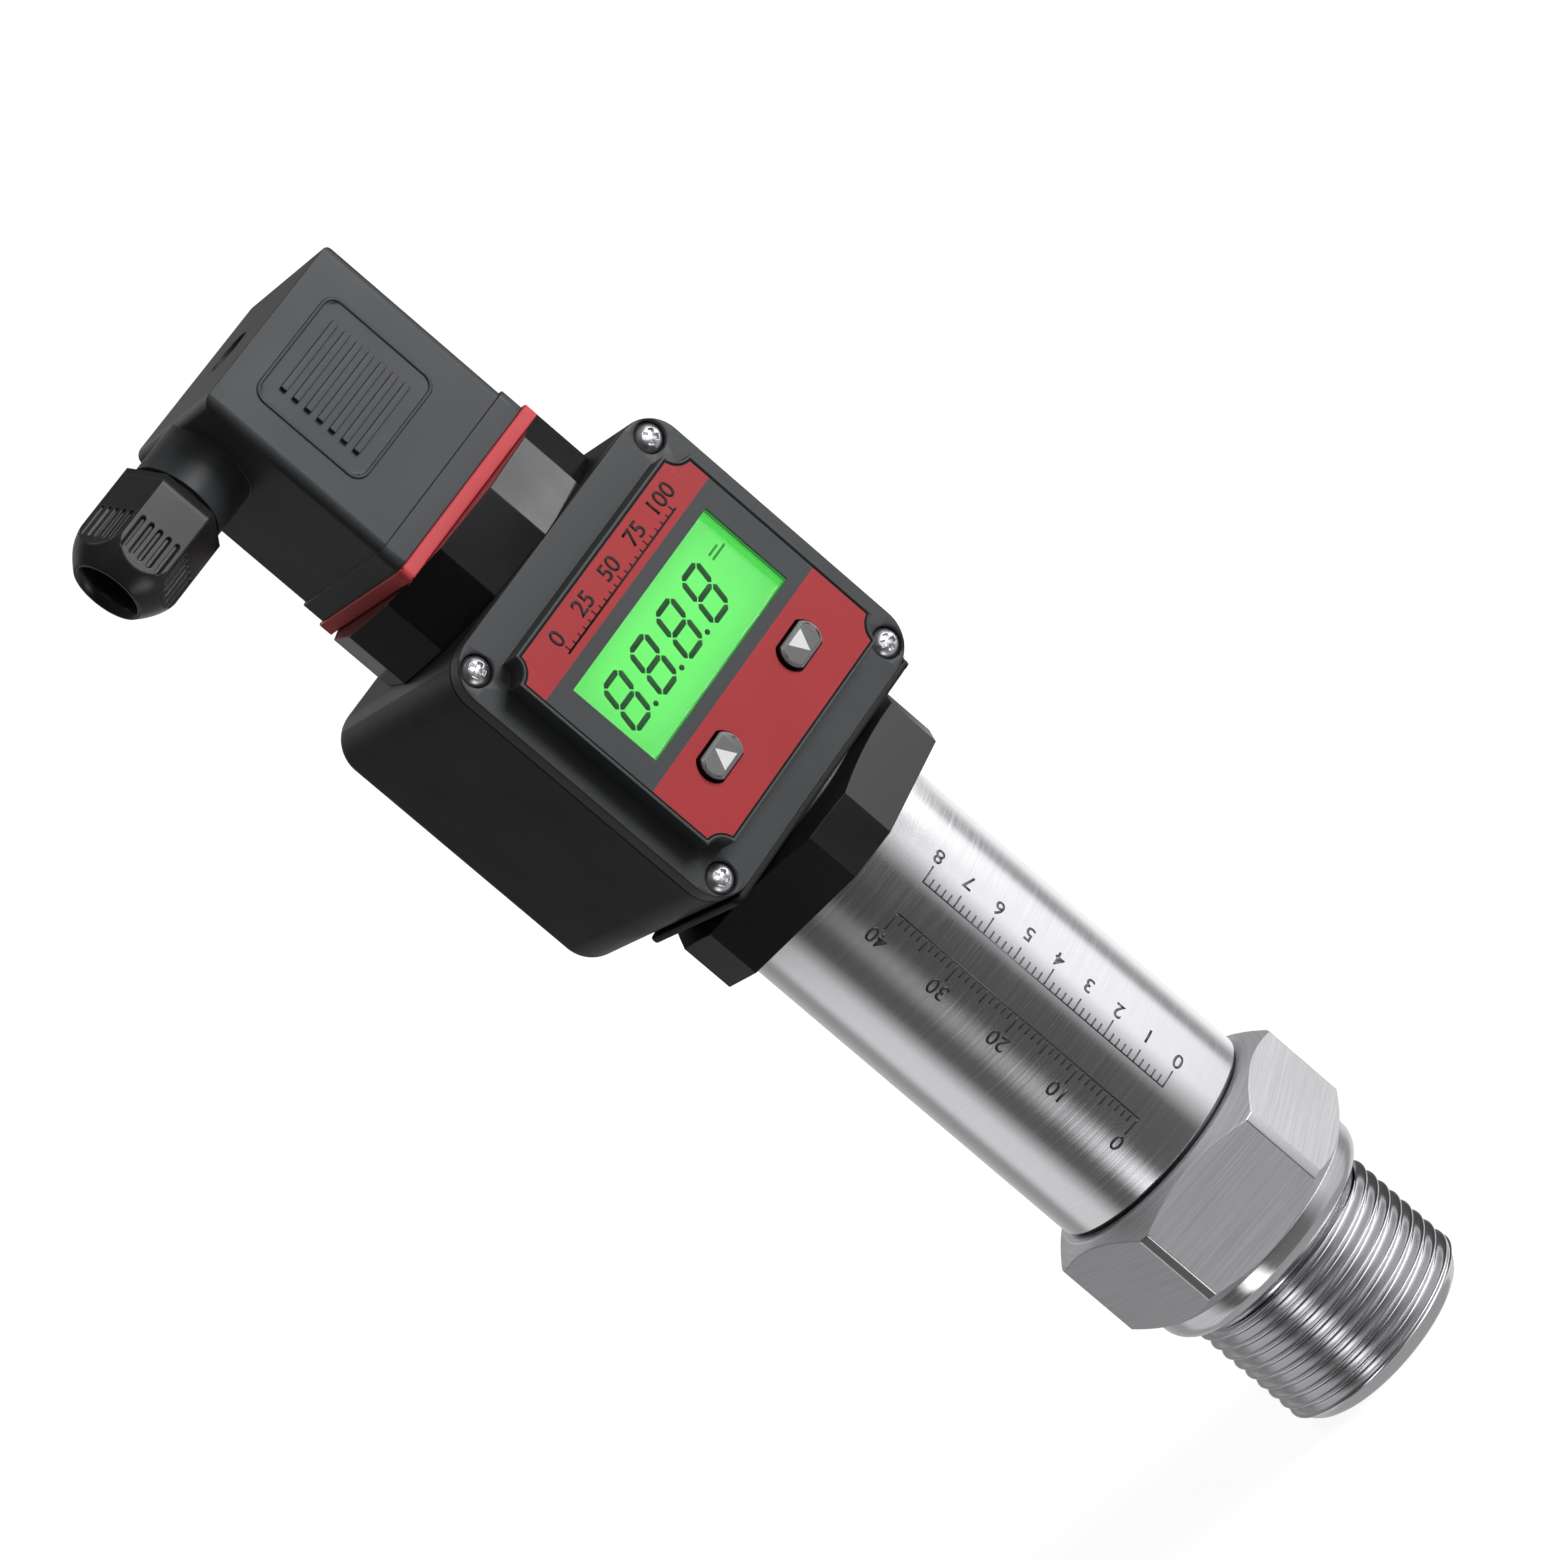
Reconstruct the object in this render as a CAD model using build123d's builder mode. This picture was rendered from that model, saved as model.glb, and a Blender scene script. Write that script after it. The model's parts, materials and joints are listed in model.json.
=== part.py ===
from build123d import *
import os
from math import cos, radians, tan

os.makedirs("parts", exist_ok=True)

# Lengths are in millimetres and angles in degrees.
# The origin is the centre of the screwed end's face and +Z runs along the tube to the plug.
# The display faces -Y and the cable gland points to -X.

# Clearances
slip_gap = 0.05
fit_gap = 0.1
glue_gap = 0.02

# Process fitting
port_radius = 3.0
nose_flat_radius = 12.0
nose_edge_radius = 13.5
nose_edge_height = 0.5
nose_radius = 14.3
nose_height = 1.7
thread_radius = 15.0
thread_length = 19.0
relief_radius = 13.7
relief_width = 0.9
collar_radius = 17.25
collar_height = 4.4
collar_rounding = 3.0
hex_across_flats = 35.3
hex_corner_radius = 20.0
hex_height = 15.9
hex_lower_bevel = 1.9
hex_upper_bevel = 2.3
hex_bevel_angle = 35.0
hex_face_angle = -115.2
shoulder_height = 0.3
shoulder_inset = 0.55
spigot_length = 5.5

# Sensor cell, its seal and its screwed ring
pocket_radius = 11.0
pocket_floor = 20.0
cell_height = 7.0
cell_top_step = 1.5
cell_seal_radius = 8.0
cell_seal_section = 0.7
cell_ring_height = 5.0
cell_ring_bore = 7.0
cell_ring_notch = 2.5

# Body tube and the board inside it
tube_radius = 15.95
tube_wall = 1.5
tube_length = 55.6
holder_height = 4.0
holder_floor = 1.5
amplifier_width = 24.0
amplifier_height = 34.0
board_thickness = 1.6

# Lower adapter, ten-sided with long and short flats by turns
adapter_long_apothem = 18.7
adapter_short_apothem = 20.54
adapter_corner_radius = 20.84
adapter_long_angle = -139.0
adapter_flat_height = 7.5
adapter_height = 9.3
adapter_bevel_angle = 13.2
adapter_neck_radius = 16.0
adapter_spigot = 10.0
adapter_wall = 3.0
tube_seal_section = 0.72

# Threaded stubs and lock nuts on both sides of the display housing
stub_radius = 8.5
stub_bore = 6.5
stub_end_length = 7.0
lock_nut_flats = 22.0
lock_nut_height = 5.0

# Display housing
foot_height = 1.0
foot_width = 40.0
foot_front = 17.5
foot_back = 8.7
foot_rounding = 1.2
box_size = 45.0
box_rounding = 5.0
box_back = 24.2
box_back_rounding = 3.5
box_wall = 3.0
joint_front = 15.8

# Front cover with its raised frame
cover_thickness = 2.6
frame_height = 4.0
frame_lip = 0.45
label_recess = 0.5
label_thickness = 0.4
cover_skin = 1.8

# Face label with scooped corners, its window and its button holes
label_side_margin = 4.0
label_end_margin = 5.6
scoop_offset = 0.3
scoop_radius = 2.7
window_side_margin = 3.6
window_top_margin = 7.55
window_button_space = 5.95
window_border = 0.2

# Window pane, display glass and backlight
pane_border = 0.9
pane_thickness = 0.8
pane_front = 21.3
display_inset = 0.2
display_thickness = 1.8
backlight_thickness = 1.1

# Display board and its posts
cavity_wall = 1.95
cavity_gap = 0.3
cavity_rounding = 3.0
display_board_rounding = 2.0
post_inset = 1.7
post_radius = 2.1
board_screw_radius = 0.75
board_screw_head = 1.5
board_screw_head_height = 0.9
board_screw_length = 2.4

# Buttons
button_side_margin = 9.4
button_bottom_margin = 7.1
button_width = 6.3
button_height = 3.8
button_end_radius = 2.35
button_proud = 1.0
button_bevel = 0.3
button_gap = 0.25
button_travel = 0.5
flange_margin = 0.6
flange_thickness = 0.6
switch_size = 6.0
switch_gap = 0.25
stem_radius = 1.6
stem_length = 1.55

# Cover screws
screw_side_inset = 3.2
screw_end_inset = 3.1
screw_head_radius = 1.85
screw_head_height = 1.8
screw_head_bevel = 0.7
screw_head_sink = 1.3
screw_radius = 1.25
screw_length = 9.0
screw_socket_radius = 0.9
screw_socket_depth = 0.7

# Seal between housing and cover
seal_width = 1.2
seal_depth = 1.0
seal_screw_gap = 3.5
boss_margin = 0.7

# Socket base, a twelve-sided neck with a raised island for the contacts
neck_flats = 36.0
neck_height = 8.86
island_half = 11.0
neck_bore_depth = 3.5

# Contact blades
blade_width = 6.3
blade_thickness = 0.8
blade_radius = 9.0
blade_count = 4
blade_root = 4.0
blade_length = 10.0

# Flat seal
flat_seal_half = 14.12
flat_seal_thickness = 1.94
flat_seal_rounding = 1.0

# Plug housing
skirt_half = 13.75
skirt_height = 3.15
plug_half = 13.39
plug_height = 30.8
plug_rounding = 1.4
plug_wall = 1.8
plug_roof = 1.5
column_radius = 4.6
recess_radius = 3.2
recess_depth = 3.5
panel_half_width = 8.5
panel_bottom = 9.9
panel_height = 17.1
panel_rounding = 2.0
panel_rise = 0.2
panel_line = 0.4

# Terminal block and its clamp screws
block_height = 18.0
clamp_screw_radius = 1.5
clamp_screw_height = 3.0
clamp_screw_offset = 7.0

# Fixing screw of the plug and its seal ring
fixing_radius = 1.5
fixing_head_radius = 2.8
fixing_head_height = 1.9
fixing_slot = 0.8
fixing_seal_thickness = 0.6
fixing_depth = 7.0

# Cable gland along -X
gland_drop = 6.36
gland_shoulder_radius = 6.3
gland_shoulder_end = 19.9
gland_thread_radius = 5.6
gland_thread_end = 27.0
cable_bore = 4.0
gland_pocket_radius = 5.0
gland_pocket_floor = 22.0
nut_start = 20.5
nut_end = 34.5
nut_corner_radius = 7.35
nut_nose_start = 29.2
nut_nose_mid = 32.4
nut_nose_mid_radius = 6.1
nut_tip_radius = 4.4
nut_inner_face = 30.6
nut_groove_width = 0.6
nut_groove_depth = 0.3
nut_groove_start = 26.6
nut_groove_spacing = 1.33
nut_groove_count = 5
gland_seal_length = 5.6

# Heights that follow from the sizes above
hex_base = thread_length + relief_width + collar_height
hex_top = hex_base + hex_height
tube_base = hex_top + shoulder_height
tube_top = tube_base + tube_length
tube_bore = tube_radius - tube_wall
spigot_radius = tube_bore - fit_gap
adapter_top = tube_top + adapter_height
box_bottom = adapter_top + foot_height
box_top = box_bottom + box_size
display_height = box_bottom + box_size / 2
neck_top = box_top + neck_height
island_top = neck_top + flat_seal_thickness
plug_bottom = island_top
plug_top = plug_bottom + plug_height
gland_height = plug_top - gland_drop

# Places on the display face, measured from its centre
label_half_width = box_size / 2 - label_side_margin
label_half_height = box_size / 2 - label_end_margin
scoop_x = label_half_width + scoop_offset
scoop_y = label_half_height + scoop_offset
button_x = label_half_width - button_side_margin
button_y = button_bottom_margin - label_half_height
window_half_width = label_half_width - window_side_margin
window_top = label_half_height - window_top_margin
window_bottom = button_y + window_button_space
cavity_half_width = label_half_width + frame_lip - cavity_wall
cavity_half_height = label_half_height + frame_lip - cavity_wall
post_x = cavity_half_width - cavity_gap - post_inset
post_y = cavity_half_height - cavity_gap - post_inset
screw_x = box_size / 2 - screw_side_inset
screw_y = box_size / 2 - screw_end_inset
seal_half = (box_size - box_wall) / 2
boss_radius = seal_screw_gap + seal_width + boss_margin

# Depths in front of the tube axis
rim_front = joint_front + cover_thickness
frame_front = rim_front + frame_height
label_back = frame_front - label_recess
label_front = label_back + label_thickness
cavity_front = frame_front - cover_skin
display_front = pane_front - pane_thickness
backlight_front = display_front - display_thickness
board_front = backlight_front - backlight_thickness
board_back = board_front - board_thickness
flange_front = cavity_front - slip_gap
flange_back = flange_front - flange_thickness
button_front = label_front + button_proud
switch_front = flange_back - button_travel - switch_gap

axis_z = Axis.Z
gland_axis = Axis((0, 0, gland_height), (-1, 0, 0))
face_plane = Plane(origin=(0, 0, display_height), x_dir=(1, 0, 0), z_dir=(0, -1, 0))
gland_plane = Plane(origin=(0, 0, gland_height), x_dir=(0, 1, 0), z_dir=(-1, 0, 0))
screw_places = [(x, y) for x in (-screw_x, screw_x) for y in (-screw_y, screw_y)]
post_places = [(x, y) for x in (-post_x, post_x) for y in (-post_y, post_y)]
button_places = {"up": (-button_x, button_y), "down": (button_x, button_y)}


def save(piece, node):
    """Label a finished piece and write its STEP file."""
    piece.part.label = node
    export_step(piece.part, f"parts/{node}.step")


def scooped_face(margin):
    """Label outline with its four scooped corners, grown by a margin."""
    with BuildSketch() as outline:
        Rectangle(2 * (label_half_width + margin), 2 * (label_half_height + margin))
        with Locations(*[(x, y) for x in (-scoop_x, scoop_x) for y in (-scoop_y, scoop_y)]):
            Circle(scoop_radius - margin, mode=Mode.SUBTRACT)
    return outline.sketch


def button_face(margin):
    """Button outline, flat above and below with round ends, grown by a margin."""
    end_centre = button_width / 2 - button_end_radius
    with BuildSketch() as outline:
        Rectangle(button_width + 2 * margin, button_height + 2 * margin)
        with BuildSketch(mode=Mode.INTERSECT):
            with Locations((-end_centre, 0), (end_centre, 0)):
                Circle(button_end_radius + margin)
            Rectangle(2 * end_centre, button_height + 2 * margin)
    return outline.sketch


def window_face(margin):
    """Window outline, grown by a margin."""
    with BuildSketch() as outline:
        with Locations((0, (window_top + window_bottom) / 2)):
            Rectangle(2 * (window_half_width + margin), window_top - window_bottom + 2 * margin)
    return outline.sketch


def seal_face(gap):
    """Ring that follows the box wall and swings inside each cover screw, thinned by a gap."""
    outer_half = seal_half + seal_width / 2 - gap
    inner_half = seal_half - seal_width / 2 + gap
    with BuildSketch() as ring:
        Rectangle(2 * outer_half, 2 * outer_half)
        with Locations(*screw_places):
            Circle(seal_screw_gap + gap, mode=Mode.SUBTRACT)
        with BuildSketch(mode=Mode.SUBTRACT):
            Rectangle(2 * inner_half, 2 * inner_half)
            with Locations(*screw_places):
                Circle(seal_screw_gap + seal_width - gap, mode=Mode.SUBTRACT)
    return ring.sketch


# Process fitting: a turned outline, with a hexagon cut by a bevel at each end
with BuildPart() as process_fitting:
    with BuildSketch(Plane.XZ):
        with BuildLine():
            Polyline(
                (0, 0),
                (nose_flat_radius, 0),
                (nose_edge_radius, nose_edge_height),
                (nose_radius, nose_height),
                (thread_radius, nose_height + thread_radius - nose_radius),
                (thread_radius, thread_length),
                (relief_radius, thread_length),
                (relief_radius, thread_length + relief_width),
                (collar_radius, thread_length + relief_width),
                (collar_radius, hex_base),
                (0, hex_base),
                (0, 0),
            )
        make_face()
    revolve(axis=axis_z)
    collar_edges = process_fitting.edges().filter_by(GeomType.CIRCLE).sort_by(SortBy.RADIUS)[-2:]
    fillet(collar_edges.sort_by(axis_z)[0], collar_rounding)
    with BuildPart(mode=Mode.ADD):
        with BuildSketch(Plane.XY.offset(hex_base)):
            RegularPolygon(hex_across_flats / 2, 6, major_radius=False, rotation=hex_face_angle + 30)
        extrude(amount=hex_height)
        bevel_run = hex_lower_bevel / tan(radians(hex_bevel_angle))
        bevel_rise = hex_upper_bevel / tan(radians(hex_bevel_angle))
        with BuildSketch(Plane.XZ):
            with BuildLine():
                Polyline(
                    (0, hex_base),
                    (hex_corner_radius - bevel_run, hex_base),
                    (hex_corner_radius, hex_base + hex_lower_bevel),
                    (hex_corner_radius, hex_top - hex_upper_bevel),
                    (hex_corner_radius - bevel_rise, hex_top),
                    (0, hex_top),
                    (0, hex_base),
                )
            make_face()
        revolve(axis=axis_z, mode=Mode.INTERSECT)
    with BuildSketch(Plane.XY.offset(hex_top)):
        Circle(tube_radius - shoulder_inset)
    extrude(amount=shoulder_height)
    with BuildSketch(Plane.XY.offset(tube_base)):
        Circle(spigot_radius)
    extrude(amount=spigot_length)
    with BuildSketch():
        Circle(port_radius)
    extrude(amount=pocket_floor, mode=Mode.SUBTRACT)
    with BuildSketch(Plane.XY.offset(pocket_floor)):
        Circle(pocket_radius)
    extrude(amount=tube_base + spigot_length - pocket_floor, mode=Mode.SUBTRACT)
    with BuildSketch(Plane.XY.offset(pocket_floor)):
        Circle(cell_seal_radius + cell_seal_section + fit_gap)
        Circle(cell_seal_radius - cell_seal_section - fit_gap, mode=Mode.SUBTRACT)
    extrude(amount=-2 * cell_seal_section, mode=Mode.SUBTRACT)
save(process_fitting, "process_fitting")

# Sensor cell with a raised rear face
with BuildPart() as sensor_cell:
    with BuildSketch(Plane.XY.offset(pocket_floor)):
        Circle(pocket_radius - fit_gap)
    extrude(amount=cell_height - cell_top_step)
    with BuildSketch(Plane.XY.offset(pocket_floor + cell_height - cell_top_step)):
        Circle(cell_ring_bore - fit_gap)
    extrude(amount=2 * cell_top_step)
save(sensor_cell, "sensor_cell")

# Square-section seal under the sensor cell
with BuildPart() as cell_seal:
    with BuildSketch(Plane.XY.offset(pocket_floor)):
        Circle(cell_seal_radius + cell_seal_section)
        Circle(cell_seal_radius - cell_seal_section, mode=Mode.SUBTRACT)
    extrude(amount=-2 * cell_seal_section)
save(cell_seal, "cell_seal")

# Screwed ring that holds the cell, with two notches for its key
with BuildPart() as cell_ring:
    with BuildSketch(Plane.XY.offset(pocket_floor + cell_height - cell_top_step)):
        Circle(pocket_radius - slip_gap)
        Circle(cell_ring_bore, mode=Mode.SUBTRACT)
    extrude(amount=cell_ring_height)
    with BuildSketch(Plane.XY.offset(pocket_floor + cell_height - cell_top_step + cell_ring_height)):
        Rectangle(2 * pocket_radius, cell_ring_notch)
    extrude(amount=-cell_ring_height / 2, mode=Mode.SUBTRACT)
save(cell_ring, "cell_ring")

# Body tube
with BuildPart() as body_tube:
    with BuildSketch(Plane.XY.offset(tube_base)):
        Circle(tube_radius)
        Circle(tube_bore, mode=Mode.SUBTRACT)
    extrude(amount=tube_length)
save(body_tube, "body_tube")

# Holder disc with the slot for the amplifier board
holder_base = tube_base + spigot_length
with BuildPart() as board_holder:
    with BuildSketch(Plane.XY.offset(holder_base)):
        Circle(spigot_radius)
    extrude(amount=holder_height)
    with BuildSketch(Plane.XY.offset(holder_base + holder_floor)):
        Rectangle(amplifier_width + 2 * fit_gap, board_thickness + 2 * fit_gap)
    extrude(amount=holder_height - holder_floor, mode=Mode.SUBTRACT)
save(board_holder, "board_holder")

# Amplifier board standing in the holder
with BuildPart() as amplifier_board:
    with BuildSketch(Plane.XY.offset(holder_base + holder_floor)):
        Rectangle(amplifier_width, board_thickness)
    extrude(amount=amplifier_height)
save(amplifier_board, "amplifier_board")

# Lower adapter: two five-sided outlines crossed, a spigot in the tube and a stub in the housing
stub_length = foot_height + box_wall + stub_end_length
seal_groove_height = tube_top - adapter_spigot / 2
with BuildPart() as lower_adapter:
    with BuildSketch(Plane.XY.offset(tube_top)):
        RegularPolygon(
            adapter_long_apothem,
            5,
            major_radius=False,
            rotation=adapter_long_angle + 36,
            align=(Align.NONE, Align.NONE),
        )
        RegularPolygon(
            adapter_short_apothem,
            5,
            major_radius=False,
            rotation=adapter_long_angle,
            align=(Align.NONE, Align.NONE),
            mode=Mode.INTERSECT,
        )
    extrude(amount=adapter_height)
    with BuildSketch(Plane.XZ):
        with BuildLine():
            bevel_height = (adapter_corner_radius - adapter_neck_radius) * tan(radians(adapter_bevel_angle))
            Polyline(
                (0, tube_top),
                (adapter_corner_radius, tube_top),
                (adapter_corner_radius, tube_top + adapter_flat_height),
                (adapter_neck_radius, tube_top + adapter_flat_height + bevel_height),
                (adapter_neck_radius, adapter_top),
                (0, adapter_top),
                (0, tube_top),
            )
        make_face()
    revolve(axis=axis_z, mode=Mode.INTERSECT)
    with BuildSketch(Plane.XY.offset(tube_top)):
        Circle(spigot_radius)
    extrude(amount=-adapter_spigot)
    with BuildSketch(Plane.XY.offset(adapter_top)):
        Circle(stub_radius)
    extrude(amount=stub_length)
    with BuildSketch(Plane.XY.offset(tube_top - adapter_spigot)):
        Circle(spigot_radius - adapter_wall)
    extrude(amount=adapter_spigot + adapter_flat_height / 2, mode=Mode.SUBTRACT)
    with BuildSketch(Plane.XY.offset(tube_top)):
        Circle(stub_bore)
    extrude(amount=adapter_height + stub_length, mode=Mode.SUBTRACT)
    with BuildSketch(Plane.XY.offset(seal_groove_height)):
        Circle(spigot_radius)
        Circle(tube_bore - 2 * tube_seal_section - glue_gap, mode=Mode.SUBTRACT)
    extrude(amount=tube_seal_section + fit_gap, both=True, mode=Mode.SUBTRACT)
save(lower_adapter, "lower_adapter")

# Square-section seal between adapter and tube
with BuildPart() as tube_seal:
    with BuildSketch(Plane.XY.offset(seal_groove_height)):
        Circle(tube_bore - glue_gap)
        Circle(tube_bore - 2 * tube_seal_section, mode=Mode.SUBTRACT)
    extrude(amount=tube_seal_section, both=True)
save(tube_seal, "tube_seal")

# Display housing: a box open to the front, with a foot plate and four screw bosses
with BuildPart() as display_housing:
    with BuildSketch(face_plane.offset(-box_back)):
        RectangleRounded(box_size, box_size, box_rounding)
    extrude(amount=box_back + joint_front)
    fillet(display_housing.faces().sort_by(Axis.Y)[-1].edges(), box_back_rounding)
    with BuildSketch(Plane.XY.offset(adapter_top)):
        with Locations((0, (foot_back - foot_front) / 2)):
            RectangleRounded(foot_width, foot_front + foot_back, foot_rounding)
    extrude(amount=foot_height)
    with BuildSketch(face_plane.offset(joint_front)):
        Rectangle(box_size - 2 * box_wall, box_size - 2 * box_wall)
        with Locations(*screw_places):
            Circle(boss_radius, mode=Mode.SUBTRACT)
    extrude(amount=-(joint_front + box_back - box_wall), mode=Mode.SUBTRACT)
    with BuildSketch(face_plane.offset(joint_front)):
        with Locations(*screw_places):
            Circle(screw_radius + glue_gap)
    extrude(amount=-screw_length, mode=Mode.SUBTRACT)
    with BuildSketch(face_plane.offset(joint_front)):
        add(seal_face(0))
    extrude(amount=-seal_depth, mode=Mode.SUBTRACT)
    with BuildSketch(Plane.XY.offset(adapter_top)):
        Circle(stub_radius + slip_gap)
    extrude(amount=foot_height + box_size, mode=Mode.SUBTRACT)
save(display_housing, "display_housing")

# Seal between housing and cover
with BuildPart() as cover_seal:
    with BuildSketch(face_plane.offset(joint_front)):
        add(seal_face(slip_gap))
    extrude(amount=-seal_depth)
save(cover_seal, "cover_seal")

# Lock nuts on the stubs of the adapter and of the socket base
nut_bases = {"adapter_nut": box_bottom + box_wall, "socket_nut": box_top - box_wall - lock_nut_height}
for node, base in nut_bases.items():
    with BuildPart() as lock_nut:
        with BuildSketch(Plane.XY.offset(base)):
            RegularPolygon(lock_nut_flats / 2, 6, major_radius=False)
            Circle(stub_radius + slip_gap, mode=Mode.SUBTRACT)
        extrude(amount=lock_nut_height)
    save(lock_nut, node)

# Front cover: rim, raised frame with scooped corners, label recess, window and posts
with BuildPart() as front_cover:
    with BuildSketch(face_plane.offset(joint_front)):
        RectangleRounded(box_size, box_size, box_rounding)
    extrude(amount=cover_thickness)
    with BuildSketch(face_plane.offset(rim_front)):
        add(scooped_face(frame_lip))
    extrude(amount=frame_height)
    with BuildSketch(face_plane.offset(frame_front)):
        add(scooped_face(0))
    extrude(amount=-label_recess, mode=Mode.SUBTRACT)
    with BuildSketch(face_plane.offset(joint_front)):
        RectangleRounded(2 * cavity_half_width, 2 * cavity_half_height, cavity_rounding)
    extrude(amount=cavity_front - joint_front, mode=Mode.SUBTRACT)
    with BuildSketch(face_plane.offset(board_front)):
        with Locations(*post_places):
            Circle(post_radius)
    extrude(amount=cavity_front - board_front)
    with BuildSketch(face_plane.offset(cavity_front)):
        add(window_face(pane_border + fit_gap))
    extrude(amount=pane_front - cavity_front, mode=Mode.SUBTRACT)
    with BuildSketch(face_plane.offset(cavity_front)):
        add(window_face(window_border))
    extrude(amount=frame_front - cavity_front, mode=Mode.SUBTRACT)
    with BuildSketch(face_plane.offset(cavity_front)):
        with Locations(*button_places.values()):
            add(button_face(button_gap))
    extrude(amount=frame_front - cavity_front, mode=Mode.SUBTRACT)
    with BuildSketch(face_plane.offset(joint_front)):
        with Locations(*screw_places):
            Circle(screw_radius + fit_gap)
    extrude(amount=cover_thickness, mode=Mode.SUBTRACT)
    with BuildSketch(face_plane.offset(rim_front)):
        with Locations(*screw_places):
            Circle(screw_head_radius + 3 * fit_gap)
    extrude(amount=-screw_head_sink, mode=Mode.SUBTRACT)
    with BuildSketch(face_plane.offset(board_front)):
        with Locations(*post_places):
            Circle(board_screw_radius + glue_gap)
    extrude(amount=board_screw_length - board_thickness, mode=Mode.SUBTRACT)
save(front_cover, "front_cover")

# Four cover screws with domed heads
screw_seat = rim_front - screw_head_sink
with BuildPart() as cover_screws:
    with BuildSketch(face_plane.offset(screw_seat)):
        with Locations(*screw_places):
            Circle(screw_head_radius)
    extrude(amount=screw_head_height)
    chamfer(cover_screws.faces().group_by(Axis.Y)[0].edges(), screw_head_bevel)
    with BuildSketch(face_plane.offset(screw_seat + screw_head_height)):
        with Locations(*screw_places):
            RegularPolygon(screw_socket_radius, 6)
    extrude(amount=-screw_socket_depth, mode=Mode.SUBTRACT)
    with BuildSketch(face_plane.offset(screw_seat)):
        with Locations(*screw_places):
            Circle(screw_radius)
    extrude(amount=-screw_length)
save(cover_screws, "cover_screws")

# Face label with its window and its two button holes
with BuildPart() as face_label:
    with BuildSketch(face_plane.offset(label_back)):
        add(scooped_face(-slip_gap))
        add(window_face(0), mode=Mode.SUBTRACT)
        with Locations(*button_places.values()):
            add(button_face(button_gap + slip_gap), mode=Mode.SUBTRACT)
    extrude(amount=label_thickness)
save(face_label, "face_label")

# Window pane, held from behind
with BuildPart() as window_pane:
    with BuildSketch(face_plane.offset(pane_front)):
        add(window_face(pane_border))
    extrude(amount=-pane_thickness)
save(window_pane, "window_pane")

# Display glass
with BuildPart() as display_glass:
    with BuildSketch(face_plane.offset(display_front)):
        add(window_face(pane_border - display_inset))
    extrude(amount=-display_thickness)
save(display_glass, "display_glass")

# Backlight between display glass and board
with BuildPart() as backlight:
    with BuildSketch(face_plane.offset(backlight_front)):
        add(window_face(pane_border - display_inset))
    extrude(amount=-backlight_thickness)
save(backlight, "backlight")

# Display board on the cover's posts
with BuildPart() as display_board:
    with BuildSketch(face_plane.offset(board_front)):
        RectangleRounded(
            2 * (cavity_half_width - cavity_gap),
            2 * (cavity_half_height - cavity_gap),
            display_board_rounding,
        )
        with Locations(*post_places):
            Circle(board_screw_radius + fit_gap, mode=Mode.SUBTRACT)
    extrude(amount=-board_thickness)
save(display_board, "display_board")

# Four screws that hold the display board
with BuildPart() as board_screws:
    with BuildSketch(face_plane.offset(board_back)):
        with Locations(*post_places):
            Circle(board_screw_head)
    extrude(amount=-board_screw_head_height)
    with BuildSketch(face_plane.offset(board_back)):
        with Locations(*post_places):
            Circle(board_screw_radius)
    extrude(amount=board_screw_length)
save(board_screws, "board_screws")

# Two tact switches on the board, each with a well for its stem
with BuildPart() as tact_switches:
    with BuildSketch(face_plane.offset(board_front)):
        with Locations(*button_places.values()):
            Rectangle(switch_size, switch_size)
    extrude(amount=switch_front - board_front)
    with BuildSketch(face_plane.offset(switch_front)):
        with Locations(*button_places.values()):
            Circle(stem_radius + fit_gap)
    extrude(amount=-(stem_length + fit_gap - switch_gap), mode=Mode.SUBTRACT)
save(tact_switches, "tact_switches")

# Buttons and the switch stems that they press
for name, place in button_places.items():
    with BuildPart() as button:
        with BuildSketch(face_plane.offset(flange_back)):
            with Locations(place):
                add(button_face(flange_margin))
        extrude(amount=flange_thickness)
        with BuildSketch(face_plane.offset(flange_front)):
            with Locations(place):
                add(button_face(0))
        extrude(amount=button_front - flange_front)
        chamfer(button.faces().sort_by(Axis.Y)[0].edges(), button_bevel)
    save(button, f"button_{name}")
    with BuildPart() as stem:
        with BuildSketch(face_plane.offset(flange_back)):
            with Locations(place):
                Circle(stem_radius)
        extrude(amount=-stem_length)
    save(stem, f"switch_stem_{name}")

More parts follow.
